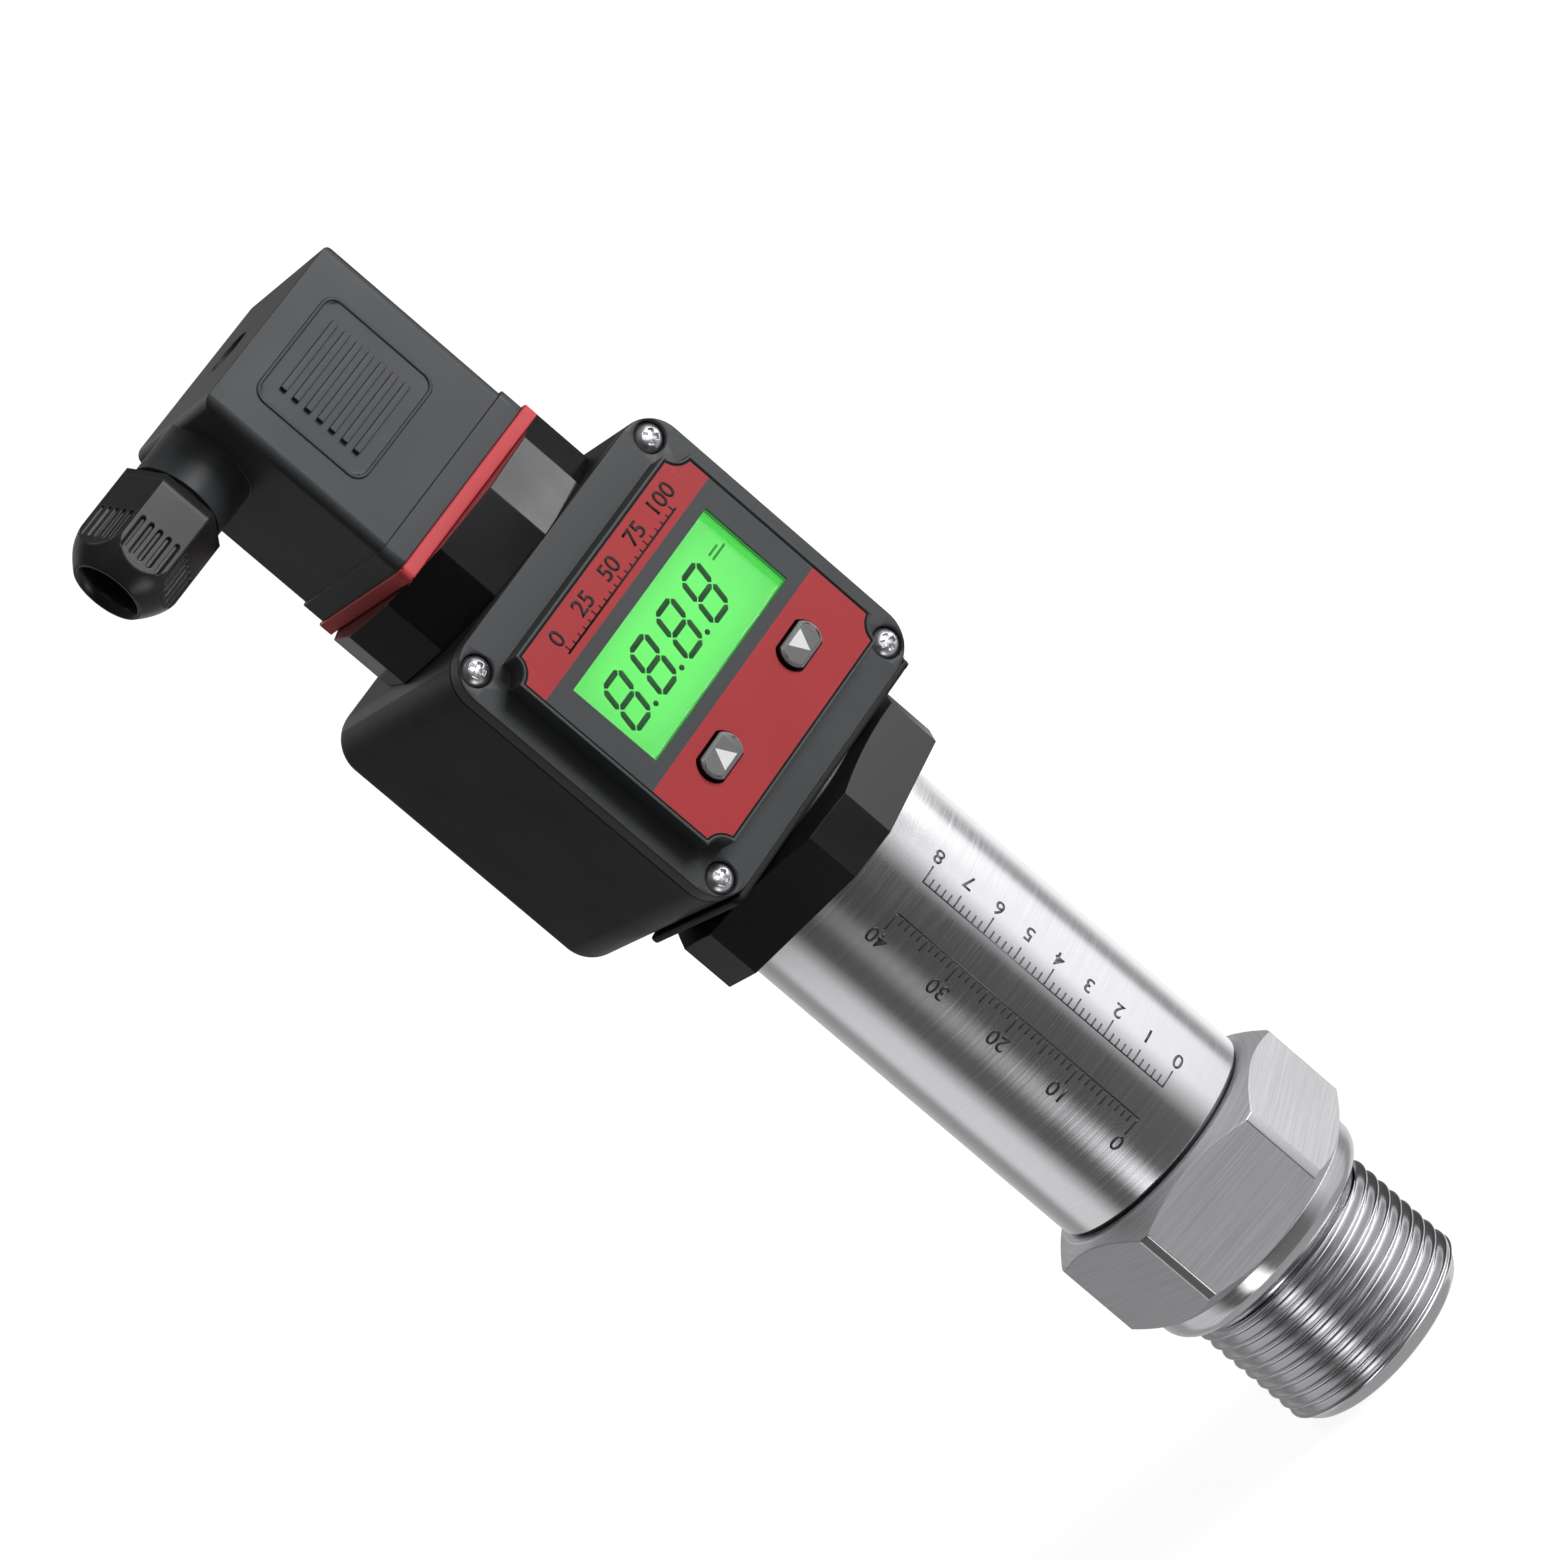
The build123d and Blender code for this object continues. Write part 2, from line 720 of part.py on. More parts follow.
# Socket base: twelve-sided neck, island, stub in the housing and a threaded centre
socket_stub = box_wall + stub_end_length
with BuildPart() as socket_base:
    with BuildSketch(Plane.XY.offset(box_top)):
        RegularPolygon(neck_flats / 2, 12, major_radius=False)
    extrude(amount=neck_height)
    with BuildSketch(Plane.XY.offset(neck_top)):
        Rectangle(2 * island_half, 2 * island_half)
    extrude(amount=flat_seal_thickness)
    with BuildSketch(Plane.XY.offset(box_top)):
        Circle(stub_radius)
    extrude(amount=-socket_stub)
    with BuildSketch(Plane.XY.offset(box_top - socket_stub)):
        Circle(stub_bore)
        Circle(column_radius, mode=Mode.SUBTRACT)
    extrude(amount=socket_stub + neck_bore_depth, mode=Mode.SUBTRACT)
    with BuildSketch(Plane.XY.offset(island_top)):
        Circle(fixing_radius + glue_gap)
    extrude(amount=-(flat_seal_thickness + fixing_depth), mode=Mode.SUBTRACT)
    with BuildSketch(Plane.XY.offset(island_top)):
        with PolarLocations(blade_radius, blade_count):
            Rectangle(blade_thickness + 2 * glue_gap, blade_width + 2 * glue_gap)
    extrude(amount=-(flat_seal_thickness + blade_root), mode=Mode.SUBTRACT)
save(socket_base, "socket_base")

# Contact blades set in the socket base
with BuildPart() as contact_blades:
    with BuildSketch(Plane.XY.offset(neck_top - blade_root)):
        with PolarLocations(blade_radius, blade_count):
            Rectangle(blade_thickness, blade_width)
    extrude(amount=blade_root + blade_length)
save(contact_blades, "contact_blades")

# Flat seal around the island
with BuildPart() as flat_seal:
    with BuildSketch(Plane.XY.offset(neck_top)):
        RectangleRounded(2 * flat_seal_half, 2 * flat_seal_half, flat_seal_rounding)
        Rectangle(2 * (island_half + fit_gap), 2 * (island_half + fit_gap), mode=Mode.SUBTRACT)
    extrude(amount=flat_seal_thickness)
save(flat_seal, "flat_seal")

# Plug housing: skirt, hollow body, screw column, moulded panel and the gland's threaded stub
inner_half = plug_half - plug_wall
block_top = island_top + block_height
with BuildPart() as plug_housing:
    with BuildSketch(Plane.XY.offset(plug_bottom + skirt_height)):
        Rectangle(2 * plug_half, 2 * plug_half)
    extrude(amount=plug_height - skirt_height)
    end_edges = plug_housing.faces().sort_by(axis_z)[-1].edges().sort_by(Axis.Y)[1:]
    fillet(end_edges + plug_housing.edges().filter_by(axis_z), plug_rounding)
    with BuildSketch(Plane.XY.offset(plug_bottom)):
        RectangleRounded(2 * skirt_half, 2 * skirt_half, plug_rounding)
    extrude(amount=skirt_height)
    with BuildSketch(gland_plane.offset(plug_half - plug_wall)):
        Circle(gland_shoulder_radius)
    extrude(amount=gland_shoulder_end - plug_half + plug_wall)
    with BuildSketch(gland_plane.offset(gland_shoulder_end)):
        Circle(gland_thread_radius)
    extrude(amount=gland_thread_end - gland_shoulder_end)
    with BuildSketch(Plane.XZ.offset(plug_half)):
        with Locations((0, plug_bottom + panel_bottom + panel_height / 2)):
            RectangleRounded(2 * panel_half_width, panel_height, panel_rounding)
            RectangleRounded(
                2 * (panel_half_width - panel_line),
                panel_height - 2 * panel_line,
                panel_rounding - panel_line,
                mode=Mode.SUBTRACT,
            )
    extrude(amount=panel_rise)
    with BuildSketch(Plane.XY.offset(plug_bottom)):
        Rectangle(2 * inner_half, 2 * inner_half)
    extrude(amount=plug_height - plug_roof, mode=Mode.SUBTRACT)
    with BuildSketch(Plane.XY.offset(block_top)):
        Circle(column_radius)
    extrude(amount=plug_top - plug_roof - block_top)
    with BuildSketch(Plane.XY.offset(block_top)):
        Circle(fixing_radius + fit_gap)
    extrude(amount=plug_top - block_top, mode=Mode.SUBTRACT)
    with BuildSketch(Plane.XY.offset(plug_top)):
        Circle(recess_radius)
    extrude(amount=-recess_depth, mode=Mode.SUBTRACT)
    with BuildSketch(gland_plane.offset(inner_half)):
        Circle(cable_bore)
    extrude(amount=gland_thread_end - inner_half, mode=Mode.SUBTRACT)
    with BuildSketch(gland_plane.offset(gland_pocket_floor)):
        Circle(gland_pocket_radius)
    extrude(amount=gland_thread_end - gland_pocket_floor, mode=Mode.SUBTRACT)
save(plug_housing, "plug_housing")

# Terminal block on the island, with slots for the blades
with BuildPart() as terminal_block:
    with BuildSketch(Plane.XY.offset(island_top)):
        Rectangle(2 * (inner_half - fit_gap), 2 * (inner_half - fit_gap))
        Circle(fixing_radius + fit_gap, mode=Mode.SUBTRACT)
    extrude(amount=block_height)
    with BuildSketch(Plane.XY.offset(island_top)):
        with PolarLocations(blade_radius, blade_count):
            Rectangle(blade_thickness + 2 * fit_gap, blade_width + 2 * fit_gap)
    extrude(amount=blade_length - flat_seal_thickness + fit_gap, mode=Mode.SUBTRACT)
    with BuildSketch(Plane.XY.offset(block_top)):
        with GridLocations(2 * clamp_screw_offset, 2 * clamp_screw_offset, 2, 2):
            Circle(clamp_screw_radius + fit_gap)
    extrude(amount=-clamp_screw_height, mode=Mode.SUBTRACT)
save(terminal_block, "terminal_block")

# Four clamp screws in the terminal block
with BuildPart() as clamp_screws:
    with BuildSketch(Plane.XY.offset(block_top - clamp_screw_height)):
        with GridLocations(2 * clamp_screw_offset, 2 * clamp_screw_offset, 2, 2):
            Circle(clamp_screw_radius)
    extrude(amount=clamp_screw_height)
save(clamp_screws, "clamp_screws")

# Fixing screw of the plug, slotted, and its seal ring
fixing_seat = plug_top - recess_depth
fixing_head_base = fixing_seat + fixing_seal_thickness
fixing_end = neck_top - fixing_depth
with BuildPart() as fixing_screw:
    with BuildSketch(Plane.XY.offset(fixing_end)):
        Circle(fixing_radius)
    extrude(amount=fixing_head_base - fixing_end)
    with BuildSketch(Plane.XY.offset(fixing_head_base)):
        Circle(fixing_head_radius)
    extrude(amount=fixing_head_height)
    with BuildSketch(Plane.XY.offset(fixing_head_base + fixing_head_height)):
        Rectangle(2 * fixing_head_radius, fixing_slot)
    extrude(amount=-fixing_head_height / 2, mode=Mode.SUBTRACT)
save(fixing_screw, "fixing_screw")

with BuildPart() as fixing_seal:
    with BuildSketch(Plane.XY.offset(fixing_seat)):
        Circle(fixing_head_radius)
        Circle(fixing_radius + fit_gap, mode=Mode.SUBTRACT)
    extrude(amount=fixing_seal_thickness)
save(fixing_seal, "fixing_seal")

# Gland nut: hexagon ending in a rounded nose, with grip grooves on each flat
nut_flat = nut_corner_radius * cos(radians(30))
nut_groove_length = nut_end - nut_groove_start
groove_span = (nut_groove_count - 1) * nut_groove_spacing
with BuildPart() as gland_nut:
    with BuildSketch(gland_plane.offset(nut_start)):
        RegularPolygon(nut_corner_radius, 6, rotation=90)
    extrude(amount=nut_end - nut_start)
    for side in range(6):
        groove_plane = gland_plane.rotated((0, 0, 60 * side))
        with BuildSketch(groove_plane.offset(nut_groove_start)):
            with Locations((nut_flat, 0)):
                with GridLocations(0, nut_groove_spacing, 1, nut_groove_count):
                    Rectangle(2 * nut_groove_depth, nut_groove_width)
        extrude(amount=nut_groove_length, mode=Mode.SUBTRACT)
    with BuildSketch(Plane.XZ):
        with BuildLine():
            Polyline(
                (-nut_start, gland_height),
                (-nut_start, gland_height + nut_corner_radius),
                (-nut_nose_start, gland_height + nut_corner_radius),
            )
            ThreePointArc(
                (-nut_nose_start, gland_height + nut_corner_radius),
                (-nut_nose_mid, gland_height + nut_nose_mid_radius),
                (-nut_end, gland_height + nut_tip_radius),
            )
            Polyline(
                (-nut_end, gland_height + nut_tip_radius),
                (-nut_end, gland_height),
                (-nut_start, gland_height),
            )
        make_face()
    revolve(axis=gland_axis, mode=Mode.INTERSECT)
    with BuildSketch(gland_plane.offset(nut_start)):
        Circle(gland_thread_radius + slip_gap)
    extrude(amount=nut_inner_face - nut_start, mode=Mode.SUBTRACT)
    with BuildSketch(gland_plane.offset(nut_inner_face)):
        Circle(cable_bore)
    extrude(amount=nut_end - nut_inner_face, mode=Mode.SUBTRACT)
save(gland_nut, "gland_nut")

# Rubber seal in the stub and the pressure ring that the nut drives
gland_seal_end = gland_pocket_floor + gland_seal_length
with BuildPart() as gland_seal:
    with BuildSketch(gland_plane.offset(gland_pocket_floor)):
        Circle(gland_pocket_radius - slip_gap)
        Circle(cable_bore, mode=Mode.SUBTRACT)
    extrude(amount=gland_seal_length)
save(gland_seal, "gland_seal")

with BuildPart() as gland_ring:
    with BuildSketch(gland_plane.offset(gland_seal_end + slip_gap)):
        Circle(gland_thread_radius - 2 * fit_gap)
        Circle(cable_bore, mode=Mode.SUBTRACT)
    extrude(amount=nut_inner_face - gland_seal_end - 2 * slip_gap)
save(gland_ring, "gland_ring")
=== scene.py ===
import json
from math import pi, radians, tan

import bmesh
import bpy
import numpy as np
from mathutils import Matrix, Vector


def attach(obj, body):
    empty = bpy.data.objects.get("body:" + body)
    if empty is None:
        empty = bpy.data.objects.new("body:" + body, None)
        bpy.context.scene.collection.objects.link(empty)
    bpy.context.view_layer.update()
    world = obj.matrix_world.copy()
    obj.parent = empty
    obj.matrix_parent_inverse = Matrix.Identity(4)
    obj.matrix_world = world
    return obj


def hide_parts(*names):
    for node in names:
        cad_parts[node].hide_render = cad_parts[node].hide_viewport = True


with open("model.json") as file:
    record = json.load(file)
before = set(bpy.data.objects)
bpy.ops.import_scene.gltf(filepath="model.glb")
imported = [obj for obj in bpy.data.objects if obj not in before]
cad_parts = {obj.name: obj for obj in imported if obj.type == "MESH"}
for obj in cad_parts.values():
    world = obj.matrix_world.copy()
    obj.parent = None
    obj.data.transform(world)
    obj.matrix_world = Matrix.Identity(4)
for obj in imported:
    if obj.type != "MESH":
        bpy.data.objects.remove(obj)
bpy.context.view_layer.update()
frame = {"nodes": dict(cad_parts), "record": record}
nodes = frame["nodes"]
record = frame["record"]
bodyOf = {node: body for body, names in record["behaviour"]["bodies"].items() for node in names}
slotOf = {part["node"]: part["material_slot"] for part in record["subparts"]}
mm = 0.001
print("frame loaded,", len(nodes), "nodes")

# Camera, floor and light.

camera = {
    "place": (-0.30414, -0.64929, 0.25230),
    "right": (0.52233162, -0.41549604, -0.74466954),
    "up": (0.74181698, -0.20929076, 0.63710669),
    "back": (-0.42056777, -0.88518948, 0.19890284),
    "focalLength": 136.1,
    "sensor": 36.0,
}
light = {
    "ambient": 0.15,  # what matt surfaces get from all round
    "aim": (0, 0, 0.11),
    "lamps": [  # name, place, size and power
        ("keyLamp", (0.57, -0.83, 0.27), 0.5, 7.0),
        ("backLamp", (0.1, 0.8, 0.6), 0.5, 1.6),
    ],
    "floorHalf": 6000.0,
    "floorGlow": (0.86, 0.96),  # share of the floor's white that the camera always sees, near and far
    "floorReach": (0.06, 0.5),
    "floorGrey": 0.42,
}
# Five rings of boards stand one above the other, with a level board below them and one above. They only show in
# reflections: the two lower rings in the steel, and the three upper ones in the black housings.
studio = {
    "cameraAzimuth": -115.1,
    "radius": 500.0,
    "columns": 96,
    "splits": (-450.0, -111.0, -10.0, 60.0, 105.0, 500.0),
    "rest": {"baseWall": 0.55, "lowerWall": 0.68, "middleWall": 0.15, "upperWall": 0.15, "topWall": 0.1},
    "pitGlow": 0.38,
    "pitHole": 1.0,
    "ceilingGlow": 0.12,
    "ceilingHole": 110.0,
}
# A board's middle and half width in degrees round from the camera's side, and its brightness.
boards = {
    "baseWall": [
        (7, 25, 0.17), (-34, 3, 2.4), (-58, 8, 0.12), (-100, 15, 0.62),
        (-130, 5, 0.36), (84, 18, 0.60), (122, 6, 0.34), (160, 13, 0.72),
    ],
    "lowerWall": [
        (7, 25, 0.085), (-34, 4, 0.27), (-58, 8, 0.11), (-100, 13, 0.74),
        (-130, 5, 0.32), (86, 21, 1.10), (122, 5, 0.36), (160, 13, 1.05),
    ],
    "middleWall": [(109, 14, 2.0), (-135, 20, 0.25), (-40, 40, 0.05), (45, 30, 0.10), (165, 20, 0.08)],
    "upperWall": [(82, 10, 6.5), (-135, 20, 0.25), (-40, 40, 0.05), (42, 20, 0.10), (150, 35, 0.05)],
    "topWall": [(45, 9, 1.9), (-135, 20, 0.25), (-40, 40, 0.05), (150, 35, 0.05)],
}


def newMaterial(name):
    material = bpy.data.materials.new(name)
    material.use_nodes = True
    tree = material.node_tree
    return material, tree, tree.nodes["Principled BSDF"]


def setSocket(tree, socket, value):
    # Links another node's output, or sets a plain value.
    if hasattr(value, "links"):
        tree.links.new(value, socket)
    else:
        socket.default_value = value


def combine(tree, operation, *values):
    node = tree.nodes.new("ShaderNodeMath")
    node.operation = operation
    for socket, value in zip(node.inputs, values):
        setSocket(tree, socket, value)
    return node.outputs[0]


def compare(tree, value, limit, greater=True):
    return combine(tree, "GREATER_THAN" if greater else "LESS_THAN", value, limit)


def sumOfSquares(tree, first, second):
    return combine(tree, "ADD", combine(tree, "MULTIPLY", first, first), combine(tree, "MULTIPLY", second, second))


def rangeOf(tree, value, low, high, start=0.0, end=1.0):
    # Carries start to low and end to high, and holds past them.
    node = tree.nodes.new("ShaderNodeMapRange")
    tree.links.new(value, node.inputs["Value"])
    for label, level in zip(("From Min", "From Max", "To Min", "To Max"), (start, end, low, high)):
        node.inputs[label].default_value = level
    return node.outputs["Result"]


def splitOf(tree, vector):
    split = tree.nodes.new("ShaderNodeSeparateXYZ")
    tree.links.new(vector, split.inputs[0])
    return split.outputs["X"], split.outputs["Y"], split.outputs["Z"]


def objectVector(tree, scale=None):
    place = tree.nodes.new("ShaderNodeTexCoord")
    if scale is None:
        return place.outputs["Object"]
    mapping = tree.nodes.new("ShaderNodeMapping")
    mapping.inputs["Scale"].default_value = scale
    tree.links.new(place.outputs["Object"], mapping.inputs["Vector"])
    return mapping.outputs["Vector"]


def gridFaces(rows, columns, closed):
    # Faces of a rows x columns grid of points, closed round its columns if asked.
    row, column = np.meshgrid(np.arange(rows - 1), np.arange(columns if closed else columns - 1), indexing="ij")
    after = (column + 1) % columns
    above = row + 1
    corners = (row * columns + column, row * columns + after, above * columns + after, above * columns + column)
    return np.stack(corners, -1).reshape(-1, 4)


roundColumns = 192  # points round a turned piece


def turned(radius, height, columns=roundColumns):
    # Points of a profile, radius against height, carried round the Z axis.
    around = np.linspace(0, 2 * pi, columns, endpoint=False)
    radius, height = np.asarray(radius, float)[:, None], np.asarray(height, float)[:, None]
    return np.stack(np.broadcast_arrays(radius * np.cos(around), radius * np.sin(around), height), -1)


def meshObject(name, points, faces, material):
    mesh = bpy.data.meshes.new(name)
    faces = faces.tolist() if hasattr(faces, "tolist") else faces
    mesh.from_pydata((np.asarray(points).reshape(-1, 3) * mm).tolist(), [], faces)
    mesh.materials.append(material)
    obj = bpy.data.objects.new(name, mesh)
    bpy.context.scene.collection.objects.link(obj)
    return obj


def placeCamera():
    view = bpy.data.cameras.new("photoView")
    view.lens = camera["focalLength"]
    view.sensor_width = camera["sensor"]
    view.sensor_fit = "HORIZONTAL"
    view.clip_start = 0.01
    obj = bpy.data.objects.new("photoView", view)
    bpy.context.scene.collection.objects.link(obj)
    turn = Matrix([camera["right"], camera["up"], camera["back"]]).transposed().to_4x4()
    obj.matrix_world = Matrix.Translation(camera["place"]) @ turn
    bpy.context.scene.camera = obj


def addLamp(name, place, size, power):
    lamp = bpy.data.lights.new(name, "AREA")
    lamp.shape = "DISK"
    lamp.size = size
    lamp.energy = power
    obj = bpy.data.objects.new(name, lamp)
    bpy.context.scene.collection.objects.link(obj)
    aim = Vector(light["aim"]) - Vector(place)
    obj.matrix_world = Matrix.Translation(place) @ aim.to_track_quat("-Z", "Y").to_matrix().to_4x4()


def makeWorld():
    # White to the camera, reflections and the pane, and dim to matt surfaces.
    world = bpy.data.worlds.new("studio")
    bpy.context.scene.world = world
    world.use_nodes = True
    tree = world.node_tree
    background = tree.nodes["Background"]
    background.inputs["Color"].default_value = (1, 1, 1, 1)
    path = tree.nodes.new("ShaderNodeLightPath")
    seen = combine(tree, "MAXIMUM", path.outputs["Is Camera Ray"], path.outputs["Is Glossy Ray"])
    seen = combine(tree, "MAXIMUM", seen, path.outputs["Is Transmission Ray"])
    tree.links.new(rangeOf(tree, seen, light["ambient"], 1.0), background.inputs["Strength"])


def makeFloor():
    # A grey matt floor, with a glow for the camera alone that grows with the distance from the middle.
    material, tree, shader = newMaterial("whiteFloor")
    tree.nodes.remove(shader)
    matt = tree.nodes.new("ShaderNodeBsdfDiffuse")
    matt.inputs["Color"].default_value = (light["floorGrey"],) * 3 + (1,)
    distance = tree.nodes.new("ShaderNodeVectorMath")
    distance.operation = "LENGTH"
    tree.links.new(objectVector(tree), distance.inputs[0])
    level = rangeOf(tree, distance.outputs["Value"], *light["floorGlow"], *light["floorReach"])
    path = tree.nodes.new("ShaderNodeLightPath")
    glow = tree.nodes.new("ShaderNodeEmission")
    tree.links.new(combine(tree, "MULTIPLY", path.outputs["Is Camera Ray"], level), glow.inputs["Strength"])
    both = tree.nodes.new("ShaderNodeAddShader")
    tree.links.new(matt.outputs[0], both.inputs[0])
    tree.links.new(glow.outputs[0], both.inputs[1])
    tree.links.new(both.outputs[0], tree.nodes["Material Output"].inputs["Surface"])
    half = light["floorHalf"]
    corners = [(-half, -half, 0), (half, -half, 0), (half, half, 0), (-half, half, 0)]
    floor = meshObject("floor", corners, [(0, 1, 2, 3)], material)
    floor.visible_glossy = False
    floor.visible_transmission = False


def glowMaterial(name):
    # A surface that only glows, and the socket of its strength.
    material, tree, shader = newMaterial(name)
    tree.nodes.remove(shader)
    glow = tree.nodes.new("ShaderNodeEmission")
    tree.links.new(glow.outputs[0], tree.nodes["Material Output"].inputs["Surface"])
    return material, tree, glow.inputs["Strength"]


def reflectedRing(name, radius, height, material):
    # A ring from one radius and height to another, which only shows in reflections.
    columns = studio["columns"]
    ring = meshObject(name, turned(radius, height, columns), gridFaces(2, columns, True), material)
    for ray in ("camera", "diffuse", "transmission", "volume_scatter", "shadow"):
        setattr(ring, "visible_" + ray, False)
    return ring


def makeStudioWall(name, low, high):
    # The angle round the Z axis from the camera's side, as a share of a turn, runs along a ramp of the boards.
    material, tree, strength = glowMaterial(name)
    x, y, z = splitOf(tree, objectVector(tree))
    angle = combine(tree, "ARCTAN2", y, x)
    turn = combine(tree, "MULTIPLY_ADD", angle, 1 / (2 * pi), 1.5 - studio["cameraAzimuth"] / 360)
    ramp = tree.nodes.new("ShaderNodeValToRGB")
    tree.links.new(combine(tree, "FRACT", turn), ramp.inputs["Fac"])
    tree.links.new(ramp.outputs["Color"], strength)
    rest = studio["rest"][name]
    stops = [(0.0, rest), (1.0, rest)]
    for middle, half, level in boards[name]:
        stops += [((middle - half) / 360 + 0.5, level), ((middle + half) / 360 + 0.5, level)]
    stops.sort()
    elements = ramp.color_ramp.elements
    for position, level in stops[1:-1]:
        elements.new(position)
    for element, (position, level) in zip(elements, stops):
        element.color = (level, level, level, 1)
    wall = reflectedRing(name, [studio["radius"]] * 2, [low, high], material)


def makeLevelBoard(name, height, hole, level):
    # A dim level board with a round hole.
    material, tree, strength = glowMaterial(name)
    strength.default_value = level
    board = reflectedRing(name, [hole, studio["radius"]], [height, height], material)


placeCamera()
makeWorld()
makeFloor()
splits = studio["splits"]
for name, low, high in zip(boards, splits, splits[1:]):
    makeStudioWall(name, low, high)
makeLevelBoard("pitBoard", splits[0], studio["pitHole"], studio["pitGlow"])
makeLevelBoard("ceilingBoard", splits[-1], studio["ceilingHole"], studio["ceilingGlow"])
for lamp in light["lamps"]:
    addLamp(*lamp)
bpy.context.scene.view_settings.view_transform = "Standard"
print("camera, floor and lamps placed")


# Shared effects, as node groups.


def newGroup(name, inputs, outputs):
    group = bpy.data.node_groups.new(name, "ShaderNodeTree")
    for label, kind, value in inputs:
        socket = group.interface.new_socket(label, in_out="INPUT", socket_type=kind)
        if value is not None:
            socket.default_value = value
    for label, kind in outputs:
        group.interface.new_socket(label, in_out="OUTPUT", socket_type=kind)
    return group, group.nodes.new("NodeGroupInput"), group.nodes.new("NodeGroupOutput")


def noiseOf(tree, vector, **values):
    node = tree.nodes.new("ShaderNodeTexNoise")
    tree.links.new(vector, node.inputs["Vector"])
    for label, value in values.items():
        setSocket(tree, node.inputs[label], value)
    return node.outputs["Fac"]


def makeGrainGroup():
    # Fine moulded grain over a slow, cloudy change of tone.
    group, entry, leave = newGroup(
        "mouldedGrain",
        [
            ("Vector", "NodeSocketVector", None),
            ("Grain", "NodeSocketFloat", 3500.0),
            ("Cloud", "NodeSocketFloat", 90.0),
        ],
        [("Height", "NodeSocketFloat"), ("Tone", "NodeSocketFloat")],
    )
    fine = noiseOf(group, entry.outputs["Vector"], Scale=entry.outputs["Grain"], Detail=3)
    slow = noiseOf(group, entry.outputs["Vector"], Scale=entry.outputs["Cloud"], Detail=2)
    both = combine(group, "MULTIPLY_ADD", fine, 0.35, slow)
    group.links.new(fine, leave.inputs["Height"])
    group.links.new(rangeOf(group, both, 0.0, 1.0, 0.42, 0.92), leave.inputs["Tone"])
    return group


def makeBrushGroup():
    # Long scratches: noise in a vector that is fine across the brush and slow along it.
    group, entry, leave = newGroup(
        "brushedLines",
        [("Vector", "NodeSocketVector", None), ("Depth", "NodeSocketFloat", 1.0)],
        [("Height", "NodeSocketFloat"), ("Tone", "NodeSocketFloat")],
    )
    lines = noiseOf(group, entry.outputs["Vector"], Scale=1.0, Detail=5, Roughness=0.65)
    group.links.new(combine(group, "MULTIPLY", lines, entry.outputs["Depth"]), leave.inputs["Height"])
    group.links.new(rangeOf(group, lines, 0.0, 1.0, 0.3, 0.7), leave.inputs["Tone"])
    return group


def makeDustGroup():
    # A thin settled film, thicker on what faces up, broken by noise.
    group, entry, leave = newGroup(
        "settledDust",
        [("Vector", "NodeSocketVector", None), ("Amount", "NodeSocketFloat", 0.05)],
        [("Mask", "NodeSocketFloat")],
    )
    facing = group.nodes.new("ShaderNodeNewGeometry")
    x, y, z = splitOf(group, facing.outputs["Normal"])
    up = rangeOf(group, z, 0.0, 1.0, -0.2, 1.0)
    patch = noiseOf(group, entry.outputs["Vector"], Scale=240, Detail=4)
    mask = combine(group, "MULTIPLY", combine(group, "MULTIPLY", up, patch), entry.outputs["Amount"])
    group.links.new(mask, leave.inputs["Mask"])
    return group


mouldedGrain = makeGrainGroup()
brushedLines = makeBrushGroup()
settledDust = makeDustGroup()
dustColour = (0.5, 0.49, 0.47, 1)


def groupNode(tree, group, vector, **values):
    node = tree.nodes.new("ShaderNodeGroup")
    node.node_tree = group
    tree.links.new(vector, node.inputs["Vector"])
    for label, value in values.items():
        node.inputs[label].default_value = value
    return node


def shade(colour, factor):
    return tuple(min(1.0, part * factor) for part in colour) + (1.0,)


def mixColours(tree, factor, first, second):
    mix = tree.nodes.new("ShaderNodeMix")
    mix.data_type = "RGBA"
    for place, value in ((0, factor), (6, first), (7, second)):
        setSocket(tree, mix.inputs[place], value)
    return mix.outputs[2]


def addBump(tree, shader, height, strength, distance):
    bump = tree.nodes.new("ShaderNodeBump")
    bump.inputs["Strength"].default_value = strength
    bump.inputs["Distance"].default_value = distance * mm
    tree.links.new(height, bump.inputs["Height"])
    tree.links.new(bump.outputs["Normal"], shader.inputs["Normal"])


def plastic(name, colour, roughness=0.42, grain=3500.0, depth=0.012, sheen=0.25, dust=0.02, tone=0.12):
    material, tree, shader = newMaterial(name)
    vector = objectVector(tree)
    surface = groupNode(tree, mouldedGrain, vector, Grain=grain)
    film = groupNode(tree, settledDust, vector, Amount=dust)
    base = mixColours(tree, surface.outputs["Tone"], shade(colour, 1 - tone), shade(colour, 1 + tone))
    tree.links.new(mixColours(tree, film.outputs["Mask"], base, dustColour), shader.inputs["Base Color"])
    rough = rangeOf(tree, surface.outputs["Tone"], roughness - 0.05, roughness + 0.07)
    tree.links.new(rough, shader.inputs["Roughness"])
    shader.inputs["Specular IOR Level"].default_value = sheen
    addBump(tree, shader, surface.outputs["Height"], 0.5, depth)
    return material


